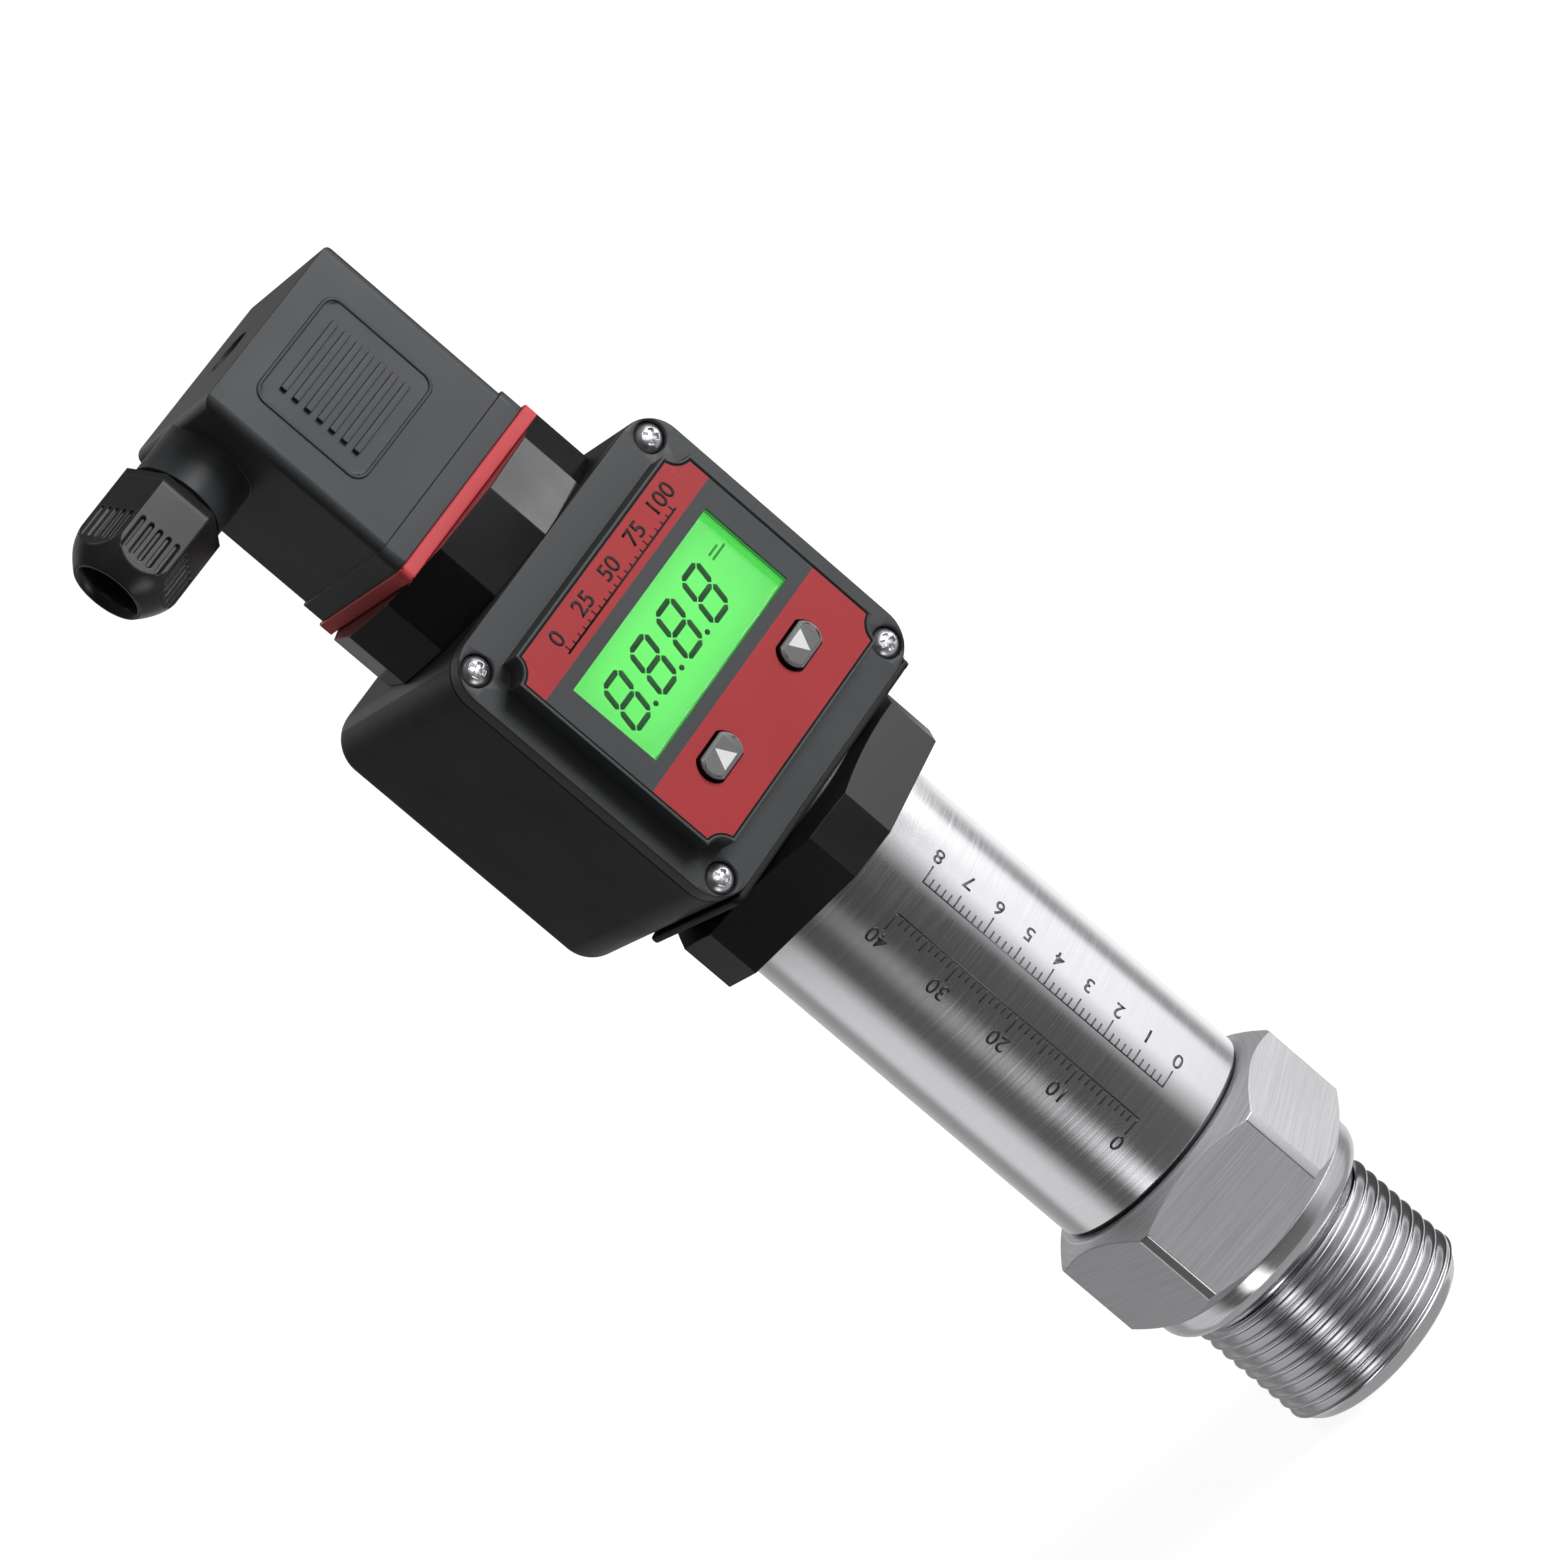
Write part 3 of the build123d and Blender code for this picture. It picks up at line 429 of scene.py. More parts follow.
def metal(name, colour, roughness=0.2, scale=(60, 60, 5000), depth=0.004, tone=0.06, spread=0.05, metallic=1.0):
    material, tree, shader = newMaterial(name)
    lines = groupNode(tree, brushedLines, objectVector(tree, scale), Depth=1.0)
    base = mixColours(tree, lines.outputs["Tone"], shade(colour, 1 - tone), shade(colour, 1 + tone))
    tree.links.new(base, shader.inputs["Base Color"])
    rough = rangeOf(tree, lines.outputs["Tone"], roughness - spread, roughness + spread)
    tree.links.new(rough, shader.inputs["Roughness"])
    shader.inputs["Metallic"].default_value = metallic
    addBump(tree, shader, lines.outputs["Height"], 0.4, depth)
    return material


coverBlack = plastic("coverBlack", (0.056, 0.059, 0.062))
housingBlack = plastic("housingBlack", (0.020, 0.021, 0.022), sheen=0.15)
adapterBlack = plastic("adapterBlack", (0.014, 0.014, 0.014), roughness=0.3, sheen=0.38)
neckBlack = plastic("neckBlack", (0.010, 0.010, 0.011), roughness=0.17, sheen=0.45)
plugBlack = plastic("plugBlack", (0.055, 0.058, 0.062), depth=0.005)
glandBlack = plastic("glandBlack", (0.028, 0.029, 0.031), roughness=0.24, sheen=0.42, depth=0.003, dust=0.008)
rubberBlack = plastic("rubberBlack", (0.022, 0.022, 0.022), roughness=0.6, grain=2500)
sealRed = plastic("sealRed", (0.82, 0.085, 0.095), roughness=0.5, grain=3000, dust=0.01, tone=0.06)
buttonGrey = plastic("buttonGrey", (0.17, 0.17, 0.18), roughness=0.3)
boardGreen = plastic("boardGreen", (0.03, 0.2, 0.08), roughness=0.25)
blockGrey = plastic("blockGrey", (0.3, 0.3, 0.32))
diffuserWhite = plastic("diffuserWhite", (0.85, 0.87, 0.85), roughness=0.5)
turnedSteel = metal("turnedSteel", (0.74, 0.74, 0.76), roughness=0.16)
polishedSteel = metal("polishedSteel", (0.80, 0.80, 0.82), roughness=0.17, depth=0.0008)
hexSteel = metal("hexSteel", (0.70, 0.70, 0.722), roughness=0.5, depth=0.012, tone=0.15, metallic=0.6)
threadSteel = metal("threadSteel", (0.74, 0.74, 0.76), roughness=0.19, depth=0.0002, tone=0.02, spread=0.01)
screwSteel = metal(
    "screwSteel", (0.66, 0.66, 0.68), roughness=0.3, scale=(300, 300, 300), depth=0.0004, tone=0.03, spread=0.03
)
contactBrass = metal("contactBrass", (0.75, 0.6, 0.3), roughness=0.25, scale=(900, 900, 900))


def turnedCorners(material, radius, colour, roughness):
    # Past this radius the cut-off corners are turned smooth, and the flats within it stay brushed.
    tree = material.node_tree
    shader = tree.nodes["Principled BSDF"]
    x, y, z = splitOf(tree, objectVector(tree))
    mask = compare(tree, sumOfSquares(tree, x, y), (radius * mm) ** 2)
    flats = shader.inputs["Base Color"].links[0].from_socket
    tree.links.new(mixColours(tree, mask, flats, colour), shader.inputs["Base Color"])
    flats = shader.inputs["Roughness"].links[0].from_socket
    drop = combine(tree, "MULTIPLY", mask, combine(tree, "SUBTRACT", flats, roughness))
    tree.links.new(combine(tree, "SUBTRACT", flats, drop), shader.inputs["Roughness"])
    flats = shader.inputs["Metallic"].default_value
    tree.links.new(combine(tree, "MAXIMUM", mask, flats), shader.inputs["Metallic"])


turnedCorners(hexSteel, radius=19.95, colour=(0.72, 0.72, 0.74, 1), roughness=0.16)
finishOf = {
    "turned_steel": turnedSteel,
    "polished_steel": polishedSteel,
    "housing_black": housingBlack,
    "plug_black": plugBlack,
    "rubber_black": rubberBlack,
    "seal_red": sealRed,
    "diffuser_white": diffuserWhite,
    "board_green": boardGreen,
    "button_grey": buttonGrey,
    "switch_black": rubberBlack,
    "screw_steel": screwSteel,
    "contact_brass": contactBrass,
    "block_grey": blockGrey,
}
print("materials made")

# Pieces. Points nearer than this are one: a piece's in metres, and a letter's in millimetres.

merge = {"piece": 2e-6, "letter": 1e-4}


def dress(node, material):
    data = nodes[node].data
    data.materials.clear()
    data.materials.append(material)


for node in nodes:
    dress(node, finishOf.get(slotOf[node], housingBlack))


def addPiece(name, points, faces, node, material, replaces=True):
    # A piece on the body of a CAD node, with its doubles merged and its faces turned outwards.
    obj = meshObject(name, points, faces, material)
    work = bmesh.new()
    work.from_mesh(obj.data)
    bmesh.ops.remove_doubles(work, verts=work.verts, dist=merge["piece"])
    bmesh.ops.recalc_face_normals(work, faces=work.faces)
    work.to_mesh(obj.data)
    work.free()
    obj.data.polygons.foreach_set("use_smooth", np.ones(len(obj.data.polygons), bool))
    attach(obj, bodyOf[node])
    if replaces:
        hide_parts(node)
    return obj


def softEdges(obj, width, angle=30, segments=3):
    edges = obj.modifiers.new("edges", "BEVEL")
    edges.width = width * mm
    edges.segments = segments
    edges.limit_method = "ANGLE"
    edges.angle_limit = radians(angle)
    edges.use_clamp_overlap = False
    normals = obj.modifiers.new("normals", "WEIGHTED_NORMAL")
    normals.keep_sharp = True
    return obj


def softCopy(node, name, material, width=0.2, angle=30, segments=3):
    # A CAD node's own shape with its edges rounded.
    work = bmesh.new()
    work.from_mesh(nodes[node].data)
    bmesh.ops.remove_doubles(work, verts=work.verts, dist=merge["piece"])
    mesh = bpy.data.meshes.new(name)
    work.to_mesh(mesh)
    work.free()
    if mesh.attributes.get("custom_normal"):
        mesh.attributes.remove(mesh.attributes["custom_normal"])
    mesh.materials.clear()
    mesh.materials.append(material)
    mesh.polygons.foreach_set("use_smooth", np.ones(len(mesh.polygons), bool))
    obj = bpy.data.objects.new(name, mesh)
    bpy.context.scene.collection.objects.link(obj)
    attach(obj, bodyOf[node])
    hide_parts(node)
    return softEdges(obj, width, angle, segments)


def addTurned(name, radius, height, node, material, replaces=True):
    faces = gridFaces(len(radius), roundColumns, True)
    return addPiece(name, turned(radius, height), faces, node, material, replaces)


thread = {
    "majorRadius": 15.0,
    "depth": 1.35,
    "pitch": 2.0,
    "start": 2.4,
    "end": 19.0,
    "power": 1.6,
    "fade": 0.8,  # height over which the first turn grows to its full depth
    "columns": 240,
    "stops": 16,
}


def makeThread():
    # The radius falls from crest to root by a power of the sine of the phase, which is height less pitch times turn.
    # Rows keep one phase and climb with the turn, so a crest is one clean line. Past each end they lie on its height.
    pitch, start, end = thread["pitch"], thread["start"], thread["end"]
    turn = np.linspace(0, 1, thread["columns"] + 1)
    stops = np.arange(thread["stops"]) / thread["stops"]
    turns = int((end - start) / pitch) + 3
    first = start - 2 * pitch
    phase = (first + pitch * (np.arange(turns)[:, None] + stops)).ravel()
    height = np.clip(phase[:, None] + pitch * turn, start, end)
    part = ((height - pitch * turn - first) / pitch) % 1.0
    fall = np.abs(np.sin(pi * (part - 0.5))) ** thread["power"]
    fade = np.clip((height - start) / thread["fade"], 0, 1)
    radius = thread["majorRadius"] - thread["depth"] * fall * fade
    points = np.stack((radius * np.cos(2 * pi * turn), radius * np.sin(2 * pi * turn), height), -1)
    return points, gridFaces(len(phase), len(turn), False)


addPiece("fittingThread", *makeThread(), "process_fitting", threadSteel)

# The nose from the end of its port, out over its face and up to the thread.
nose = {
    "radius": [0, 3.0, 3.0, 12.0, 12.9, 13.5, 13.95, 14.3, 14.62, 15.0],
    "height": [20, 20, 0, 0, 0.12, 0.5, 1.05, 1.7, 2.02, 2.4],
}
addTurned("fittingNose", nose["radius"], nose["height"], "process_fitting", turnedSteel)

hexagon = {
    "halfFlats": 17.65,
    "cornerRadius": 20.0,
    "innerRadius": 14.4,
    "base": 24.3,
    "top": 40.2,
    "sink": 2.0,  # how far its inner edge stands below its base, within the collar
    "lowerBevel": 1.9,
    "upperBevel": 2.3,
    "slope": tan(radians(35)),
    "faceAngle": -115.2,
}


def makeHexagon():
    # Round each of the six faces the radius is the flat's distance over the cosine, and no more than the corner's.
    # Each column runs up the lower cone to where it meets that radius, up the face, and back along the upper cone.
    size = hexagon
    flats, corner, slope = size["halfFlats"], size["cornerRadius"], size["slope"]
    limit = np.degrees(np.arccos(flats / corner))
    offset = np.concatenate((np.linspace(-limit, limit, 21), np.linspace(limit, 60 - limit, 4)[1:-1]))
    angle = (size["faceAngle"] + 60 * np.arange(6)[:, None] + offset).ravel()
    radius = np.tile(np.minimum(flats / np.cos(np.radians(offset)), corner), 6)
    lower = size["base"] + size["lowerBevel"] - (corner - radius) * slope
    upper = size["top"] - size["upperBevel"] + (corner - radius) * slope
    flat = np.ones_like(radius)
    rows = [
        (size["innerRadius"] * flat, (size["base"] - size["sink"]) * flat),
        ((corner - size["lowerBevel"] / slope) * flat, size["base"] * flat),
        (radius, lower),
        (radius, upper),
        ((corner - size["upperBevel"] / slope) * flat, size["top"] * flat),
        (size["innerRadius"] * flat, size["top"] * flat),
    ]
    cosine, sine = np.cos(np.radians(angle)), np.sin(np.radians(angle))
    points = np.stack([np.stack((radius * cosine, radius * sine, z), -1) for radius, z in rows])
    return points, gridFaces(len(rows), len(angle), True)


hexPiece = addPiece("fittingHexagon", *makeHexagon(), "process_fitting", hexSteel, replaces=False)
softEdges(hexPiece, 0.12, 20, 2)

# Radius and height of the run-out behind the thread, of the rolled edge's middle and of the collar's back.
collar = {
    "runOut": [(14.0, 18.7), (14.2, 19.5), (14.3, 19.9)],
    "rollMiddle": (14.25, 22.9),
    "rollRadius": 3.0,
    "back": [(17.25, 24.3), (14.4, 24.3)],
}
rollAngle = np.linspace(-pi / 2, 0, 9)
roll = np.stack((np.cos(rollAngle), np.sin(rollAngle)), -1) * collar["rollRadius"] + collar["rollMiddle"]
collarRadius, collarHeight = np.concatenate((collar["runOut"], roll, collar["back"])).T
collarPiece = addTurned("fittingCollar", collarRadius, collarHeight, "process_fitting", turnedSteel, False)
softEdges(collarPiece, 0.1, 30, 2)

tube = {"radius": 15.95, "bore": 14.45, "base": 40.85, "top": 96.1, "edge": 0.25}
inner, outer, edge, base, top = tube["bore"], tube["radius"], tube["edge"], tube["base"], tube["top"]
tubeRadius = [inner, outer - edge, outer, outer, outer - edge, inner, inner]
tubeHeight = [base, base, base + edge, top - edge, top, top, base]
softEdges(addTurned("polishedTube", tubeRadius, tubeHeight, "body_tube", polishedSteel), 0.06, 30, 2)

# A near black ring in the gap between the hexagon and the tube: painted shade.
groove = {"radius": [14.4, 15.35, 15.35, 14.4], "height": [40.1, 40.1, 41.0, 41.0]}
paintedGrooveShade = metal("paintedGrooveShade", (0.05, 0.05, 0.055), roughness=0.4)
addTurned("tubeGroove", groove["radius"], groove["height"], "process_fitting", paintedGrooveShade, False)
print("steel pieces made")

# The moulded pieces: CAD node, name, material, and the width and angle of the edges that are rounded.
for node, name, material, width, angle in (
    ("lower_adapter", "adapterCap", adapterBlack, 0.12, 30),
    ("display_housing", "housingBox", housingBlack, 0.3, 30),
    ("front_cover", "coverFrame", coverBlack, 0.18, 30),
    ("socket_base", "neckBlock", neckBlack, 0.12, 20),
    ("flat_seal", "redSeal", sealRed, 0.25, 30),
    ("plug_housing", "plugShell", plugBlack, 0.13, 30),
):
    softCopy(node, name, material, width, angle)

glandCap = {
    "axis": 186.64,
    "halfFlats": 6.365,
    "cornerRadius": 7.27,
    "start": 20.5,
    "end": 34.5,
    "noseStart": 29.9,
    "nosePower": 1.7,
    "rimRadius": 4.8,
    "mouthRadius": 4.4,
    "mouthDepth": 30.6,
    "hollowRadius": 5.68,
    "slots": 5,
    "slotPitch": 1.33,
    "slotHalfWidth": 0.29,
    "slotStart": 26.9,
    "slotEnd": 31.0,
    "slotDepth": 0.5,
    "slotEdge": 0.12,
    "fineRows": (26.4, 31.6),
    "coarseRows": (26.3, 31.75),
}


def makeGlandCap():
    # Round its axis the radius is the flat's distance over the cosine, and no more than the nose's, which falls by a
    # power of the distance. Slots are cut by a smooth step of the distance to their middle lines.
    size = glandCap
    across = np.linspace(-1, 1, 101)[:-1] * size["halfFlats"] * tan(pi / 6)
    offset = np.arctan(across / size["halfFlats"])
    angle = (np.radians(60 * np.arange(6))[:, None] + offset).ravel()
    across, offset = np.tile(across, 6), np.tile(offset, 6)
    along = np.concatenate((
        np.linspace(size["start"], size["coarseRows"][0], 5),
        np.linspace(*size["fineRows"], 53),
        np.linspace(size["coarseRows"][1], size["end"], 20),
    ))
    share = np.clip((along - size["noseStart"]) / (size["end"] - size["noseStart"]), 0, 1)
    rounding = (size["cornerRadius"] - size["rimRadius"]) * (1 - share ** size["nosePower"])
    radius = np.minimum(size["halfFlats"] / np.cos(offset), (size["rimRadius"] + rounding)[:, None])
    most = size["slots"] // 2
    middle = np.clip(np.round(across / size["slotPitch"]), -most, most) * size["slotPitch"]
    beyond = along - np.clip(along, size["slotStart"], size["slotEnd"])
    distance = np.hypot(across - middle, beyond[:, None]) - size["slotHalfWidth"]
    cut = np.clip(0.5 - distance / size["slotEdge"], 0, 1)
    radius = radius - size["slotDepth"] * cut * cut * (3 - 2 * cut)
    inner = [
        (size["mouthRadius"], size["end"]),
        (size["mouthRadius"], size["mouthDepth"]),
        (size["hollowRadius"], size["mouthDepth"]),
        (size["hollowRadius"], size["start"]),
    ]
    radius = np.concatenate((radius, [np.full(len(angle), part[0]) for part in inner], radius[:1]))
    along = np.concatenate((along, [part[1] for part in inner], along[:1]))
    rise = size["axis"] + radius * np.sin(angle)
    points = np.stack(np.broadcast_arrays(-along[:, None], -radius * np.cos(angle), rise), -1)
    return points, gridFaces(len(along), len(angle), True)


addPiece("glandCap", *makeGlandCap(), "gland_nut", glandBlack)

screwHeads = {
    "places": [(-19.3, 148.3), (19.3, 148.3), (19.3, 109.5), (-19.3, 109.5)],
    "turns": [14, 40, 63, 27],
    "radius": 1.98,
    "seat": 17.1,
    "side": 0.5,
    "top": 18.9,
    "domePowers": (2.2, 0.62),
    "fineReach": 1.3,
    "coarseStart": 1.36,
    "columns": 96,
    "armLength": 0.98,
    "armWidth": 0.3,
    "wallWidth": 0.24,
    "recess": 0.5,
    "shank": 1.0,
    "shankEnd": 12.5,
}


def makeScrewHeads():
    # A dome, a power of one less a power of the radius, less a cross whose walls fall by a smooth step of the
    # distance to its arms. Rings of the shank close it below.
    size = screwHeads
    fine = np.linspace(0, size["fineReach"], 34)
    radius = np.concatenate((fine, np.linspace(size["coarseStart"], size["radius"], 12)))
    around = np.linspace(0, 2 * pi, size["columns"], endpoint=False)
    x, y = radius[:, None] * np.cos(around), radius[:, None] * np.sin(around)
    rise = size["top"] - size["seat"] - size["side"]
    first, second = size["domePowers"]
    dome = size["side"] + rise * (1 - (radius[:, None] / size["radius"]) ** first) ** second
    across = np.minimum(np.abs(x), np.abs(y)) - size["armWidth"]
    along = np.maximum(np.abs(x), np.abs(y)) - size["armLength"]
    inside = np.clip(0.5 - np.maximum(across, along) / size["wallWidth"], 0, 1)
    inside = inside * inside * (3 - 2 * inside)
    rows = [(x, y, size["seat"] + dome - inside * size["recess"])]
    for ring, level in ((size["shank"], size["seat"]), (size["shank"], size["shankEnd"]), (0.0, size["shankEnd"])):
        rows.append((ring * np.cos(around)[None], ring * np.sin(around)[None], np.full((1, len(around)), level)))
    x, y, depth = (np.concatenate([row[i] for row in rows]) for i in range(3))
    heads = []
    for (placeX, placeZ), turn in zip(size["places"], np.radians(size["turns"])):
        turnedX = placeX + x * np.cos(turn) - y * np.sin(turn)
        turnedZ = placeZ + x * np.sin(turn) + y * np.cos(turn)
        heads.append(np.stack((turnedX, -depth, turnedZ), -1))
    grid = gridFaces(len(x), len(around), True)
    return np.stack(heads), np.concatenate([grid + i * x.size for i in range(len(heads))])


addPiece("coverScrewHeads", *makeScrewHeads(), "cover_screws", screwSteel)
softCopy("fixing_screw", "plugScrew", screwSteel, 0.15)
print("housings made")

# Label, ribs, display and buttons.

label = {
    "centre": 128.9,
    "halfWidth": 18.5,
    "halfHeight": 16.9,
    "upperEdge": 11.26,
    "lowerEdge": -5.6,
    "front": 22.3,
    "scoopPlace": (18.8, 17.2),
    "scoopRadius": 2.7,
    "border": 0.2,
    "red": (0.53, 0.048, 0.054),
    "grey": (0.078, 0.082, 0.089),
    "black": (0.008, 0.008, 0.008, 1),
}


def labelMaterial():
    # Red above and below and grey between, with a black border where the edge, a scoop's too, is near.
    material, tree, shader = newMaterial("printedLabel")
    vector = objectVector(tree)
    x, y, z = splitOf(tree, vector)
    above = compare(tree, z, (label["centre"] + label["upperEdge"]) * mm)
    below = compare(tree, z, (label["centre"] + label["lowerEdge"]) * mm, False)
    band = combine(tree, "MAXIMUM", above, below)
    side = combine(tree, "ABSOLUTE", x)
    rise = combine(tree, "ABSOLUTE", combine(tree, "SUBTRACT", z, label["centre"] * mm))
    toSide = combine(tree, "SUBTRACT", label["halfWidth"] * mm, side)
    toEnd = combine(tree, "SUBTRACT", label["halfHeight"] * mm, rise)
    scoopX = combine(tree, "SUBTRACT", side, label["scoopPlace"][0] * mm)
    scoopZ = combine(tree, "SUBTRACT", rise, label["scoopPlace"][1] * mm)
    away = combine(tree, "SQRT", sumOfSquares(tree, scoopX, scoopZ))
    toScoop = combine(tree, "SUBTRACT", away, label["scoopRadius"] * mm)
    toEdge = combine(tree, "MINIMUM", combine(tree, "MINIMUM", toSide, toEnd), toScoop)
    border = compare(tree, toEdge, label["border"] * mm, False)
    surface = groupNode(tree, mouldedGrain, vector, Grain=5200.0)
    tone = surface.outputs["Tone"]
    red = mixColours(tree, tone, shade(label["red"], 0.94), shade(label["red"], 1.06))
    grey = mixColours(tree, tone, shade(label["grey"], 0.92), shade(label["grey"], 1.08))
    printed = mixColours(tree, band, grey, red)
    tree.links.new(mixColours(tree, border, printed, label["black"]), shader.inputs["Base Color"])
    tree.links.new(rangeOf(tree, tone, 0.38, 0.5), shader.inputs["Roughness"])
    shader.inputs["Specular IOR Level"].default_value = 0.15
    addBump(tree, shader, surface.outputs["Height"], 0.3, 0.006)
    return material


softCopy("face_label", "faceLabel", labelMaterial(), 0.05)


def barsOn(name, bars, place, depths, node, material, rows=1):
    # Closed bars between two u and two v values; place carries u, v and depth to the surface, cut in rows along v.
    bars = np.asarray(bars, float)
    share = np.linspace(0, 1, rows + 1)
    v = bars[:, 2, None] + (bars[:, 3] - bars[:, 2])[:, None] * share
    depth = np.array([depths[0], depths[0], depths[1], depths[1]])
    u, v, depth = np.broadcast_arrays(bars[:, None, [0, 1, 1, 0]], v[:, :, None], depth)
    points = np.stack(place(u, v, depth), -1)
    last = rows * 4
    faces = np.concatenate((gridFaces(rows + 1, 4, True), [[3, 2, 1, 0], [last, last + 1, last + 2, last + 3]]))
    faces = (faces[None] + (np.arange(len(bars)) * (rows + 1) * 4)[:, None, None]).reshape(-1, 4)
    return addPiece(name, points, faces, node, material, replaces=False)


def numbersOn(name, entries, size, place, thick, node, material):
    # Plain numbers: thin closed letters, cut fine and carried to the surface.
    allPoints, allFaces, total = [], [], 0
    for text, u, v in entries:
        curve = bpy.data.curves.new(name, "FONT")
        curve.body = text
        curve.size = size
        curve.align_x = "CENTER"
        curve.extrude = thick / 2
        curve.offset = size * 0.012
        holder = bpy.data.objects.new(name, curve)
        flat = bpy.data.meshes.new_from_object(holder)
        work = bmesh.new()
        work.from_mesh(flat)
        bmesh.ops.remove_doubles(work, verts=work.verts, dist=merge["letter"])
        bmesh.ops.triangulate(work, faces=work.faces)
        bmesh.ops.subdivide_edges(work, edges=work.edges, cuts=1)
        bmesh.ops.triangulate(work, faces=work.faces)
        work.to_mesh(flat)
        work.free()
        points = np.empty(len(flat.vertices) * 3)
        flat.vertices.foreach_get("co", points)
        faces = np.empty(len(flat.polygons) * 3, int)
        flat.polygons.foreach_get("vertices", faces)
        points = points.reshape(-1, 3)
        allPoints.append(np.stack(place(points[:, 0], points[:, 1], points[:, 2] + thick / 2, u, v), -1))
        allFaces.append(faces.reshape(-1, 3) + total)
        total += len(points)
        bpy.data.objects.remove(holder)
        bpy.data.curves.remove(curve)
        bpy.data.meshes.remove(flat)
    return addPiece(name, np.concatenate(allPoints), np.concatenate(allFaces), node, material, replaces=False)


labelScale = {
    "start": -11.2,
    "step": 1.15,
    "count": 21,
    "line": 12.5,
    "lineWidth": 0.28,
    "lineOver": 0.5,
    "tickHalf": 0.09,
    "tickLengths": (0.75, 0.45),  # every fifth one, and the others
    "numberSize": 3.1,
    "numberRise": 1.05,
    "thickness": 0.02,
    "root": -0.05,
}


def labelPlace(x, y, depth, u=0.0, v=0.0):
    return x + u, -(label["front"] + depth), y + v + label["centre"]


printBlack = plastic("printBlack", (0.010, 0.008, 0.008), roughness=0.5)
count, line, half = np.arange(labelScale["count"]), labelScale["line"], labelScale["tickHalf"]
scaleX = labelScale["start"] + labelScale["step"] * count
scaleTop = line + np.where(count % 5 == 0, *labelScale["tickLengths"])
scaleBars = np.stack((scaleX - half, scaleX + half, np.full_like(scaleX, line), scaleTop), -1)
over = labelScale["lineOver"]
scaleBars = np.concatenate((scaleBars, [(scaleX[0] - over, scaleX[-1] + over, line - labelScale["lineWidth"], line)]))
barsOn("labelScale", scaleBars, labelPlace, (labelScale["thickness"], labelScale["root"]), "face_label", printBlack)
scaleNumbers = [(str(25 * i), scaleX[5 * i], line + labelScale["numberRise"]) for i in range(5)]
thick = labelScale["thickness"]
numbersOn("labelNumbers", scaleNumbers, labelScale["numberSize"], labelPlace, thick, "face_label", printBlack)

ribs = {
    "count": 7,
    "first": 174.48,
    "pitch": 1.9,
    "width": 0.95,
    "halfLength": 5.6,
    "base": 13.5,
    "rise": 0.45,
    "root": -0.1,
}


def plugPlace(u, v, depth):
    return u, -(ribs["base"] + depth), v


ribLow = ribs["first"] + ribs["pitch"] * np.arange(ribs["count"])
ribEnd = np.full(ribs["count"], ribs["halfLength"])
ribBars = np.stack((-ribEnd, ribEnd, ribLow, ribLow + ribs["width"]), -1)
softEdges(barsOn("plugRibs", ribBars, plugPlace, (ribs["rise"], ribs["root"]), "plug_housing", plugBlack), 0.12)

tubeScale = {
    "start": 48.0,
    "length": 40,
    "lines": ((-112.0, -1), (-94.0, 1)),  # angle of each line, and the way its ticks point
    "lineHalf": 0.35,
    "lineOver": 0.09,
    "tickHalf": 0.11,
    "tickLengths": (2.6, 1.9, 1.2),  # every tenth one, every fifth, and the others
    "numberAngles": (-123.0, -75.5),
    "numberSize": 2.9,
    "thickness": 0.01,
    "numberThickness": 0.012,
    "root": -0.05,
    "degreesPerMm": 180 / pi / tube["radius"],
}


def tubeBarPlace(u, v, depth):
    # Up the tube goes u, and v is the angle round it.
    angle = np.radians(v)
    radius = tube["radius"] + depth
    return radius * np.cos(angle), radius * np.sin(angle), u


def tubePlace(x, y, depth, u=0.0, v=0.0):
    # A number runs up the tube, and its top points the way of falling angles.
    return tubeBarPlace(x + u, v - y * tubeScale["degreesPerMm"], depth)


engraved = metal("engraved", (0.10, 0.10, 0.11), roughness=0.45)
count, half = np.arange(tubeScale["length"] + 1), tubeScale["tickHalf"]
tickZ = tubeScale["start"] + count
longest, longer, short = tubeScale["tickLengths"]
tickLong = np.where(count % 10 == 0, longest, np.where(count % 5 == 0, longer, short))
over, wide = tubeScale["lineOver"], tubeScale["lineHalf"]
tickBars = []
for line, way in tubeScale["lines"]:
    far = line + way * tickLong * tubeScale["degreesPerMm"]
    tickBars.append(np.stack((tickZ - half, tickZ + half, np.minimum(far, line), np.maximum(far, line)), -1))
    tickBars.append([(tickZ[0] - over, tickZ[-1] + over, line - wide, line + wide)])
tickDepths = (tubeScale["thickness"], tubeScale["root"])
barsOn("tubeScaleLines", np.concatenate(tickBars), tubeBarPlace, tickDepths, "body_tube", engraved, rows=4)
left, right = tubeScale["numberAngles"]
tubeNumbers = [(str(10 * i), tubeScale["start"] + 10 * i, left) for i in range(5)]
tubeNumbers += [(str(i), tubeScale["start"] + 5 * i, right) for i in range(9)]
thick = tubeScale["numberThickness"]
numbersOn("tubeNumbers", tubeNumbers, tubeScale["numberSize"], tubePlace, thick, "body_tube", engraved)

display = {
    "halfWidth": 15.0,
    "halfHeight": 6.6,
    "middle": 131.65,
    "glow": ((0.085, 0.80, 0.088, 1), (0.06, 0.64, 0.065, 1)),  # in the middle, and at the edge
    "base": ((0.03, 0.12, 0.03, 1), (0.02, 0.08, 0.02, 1)),
}


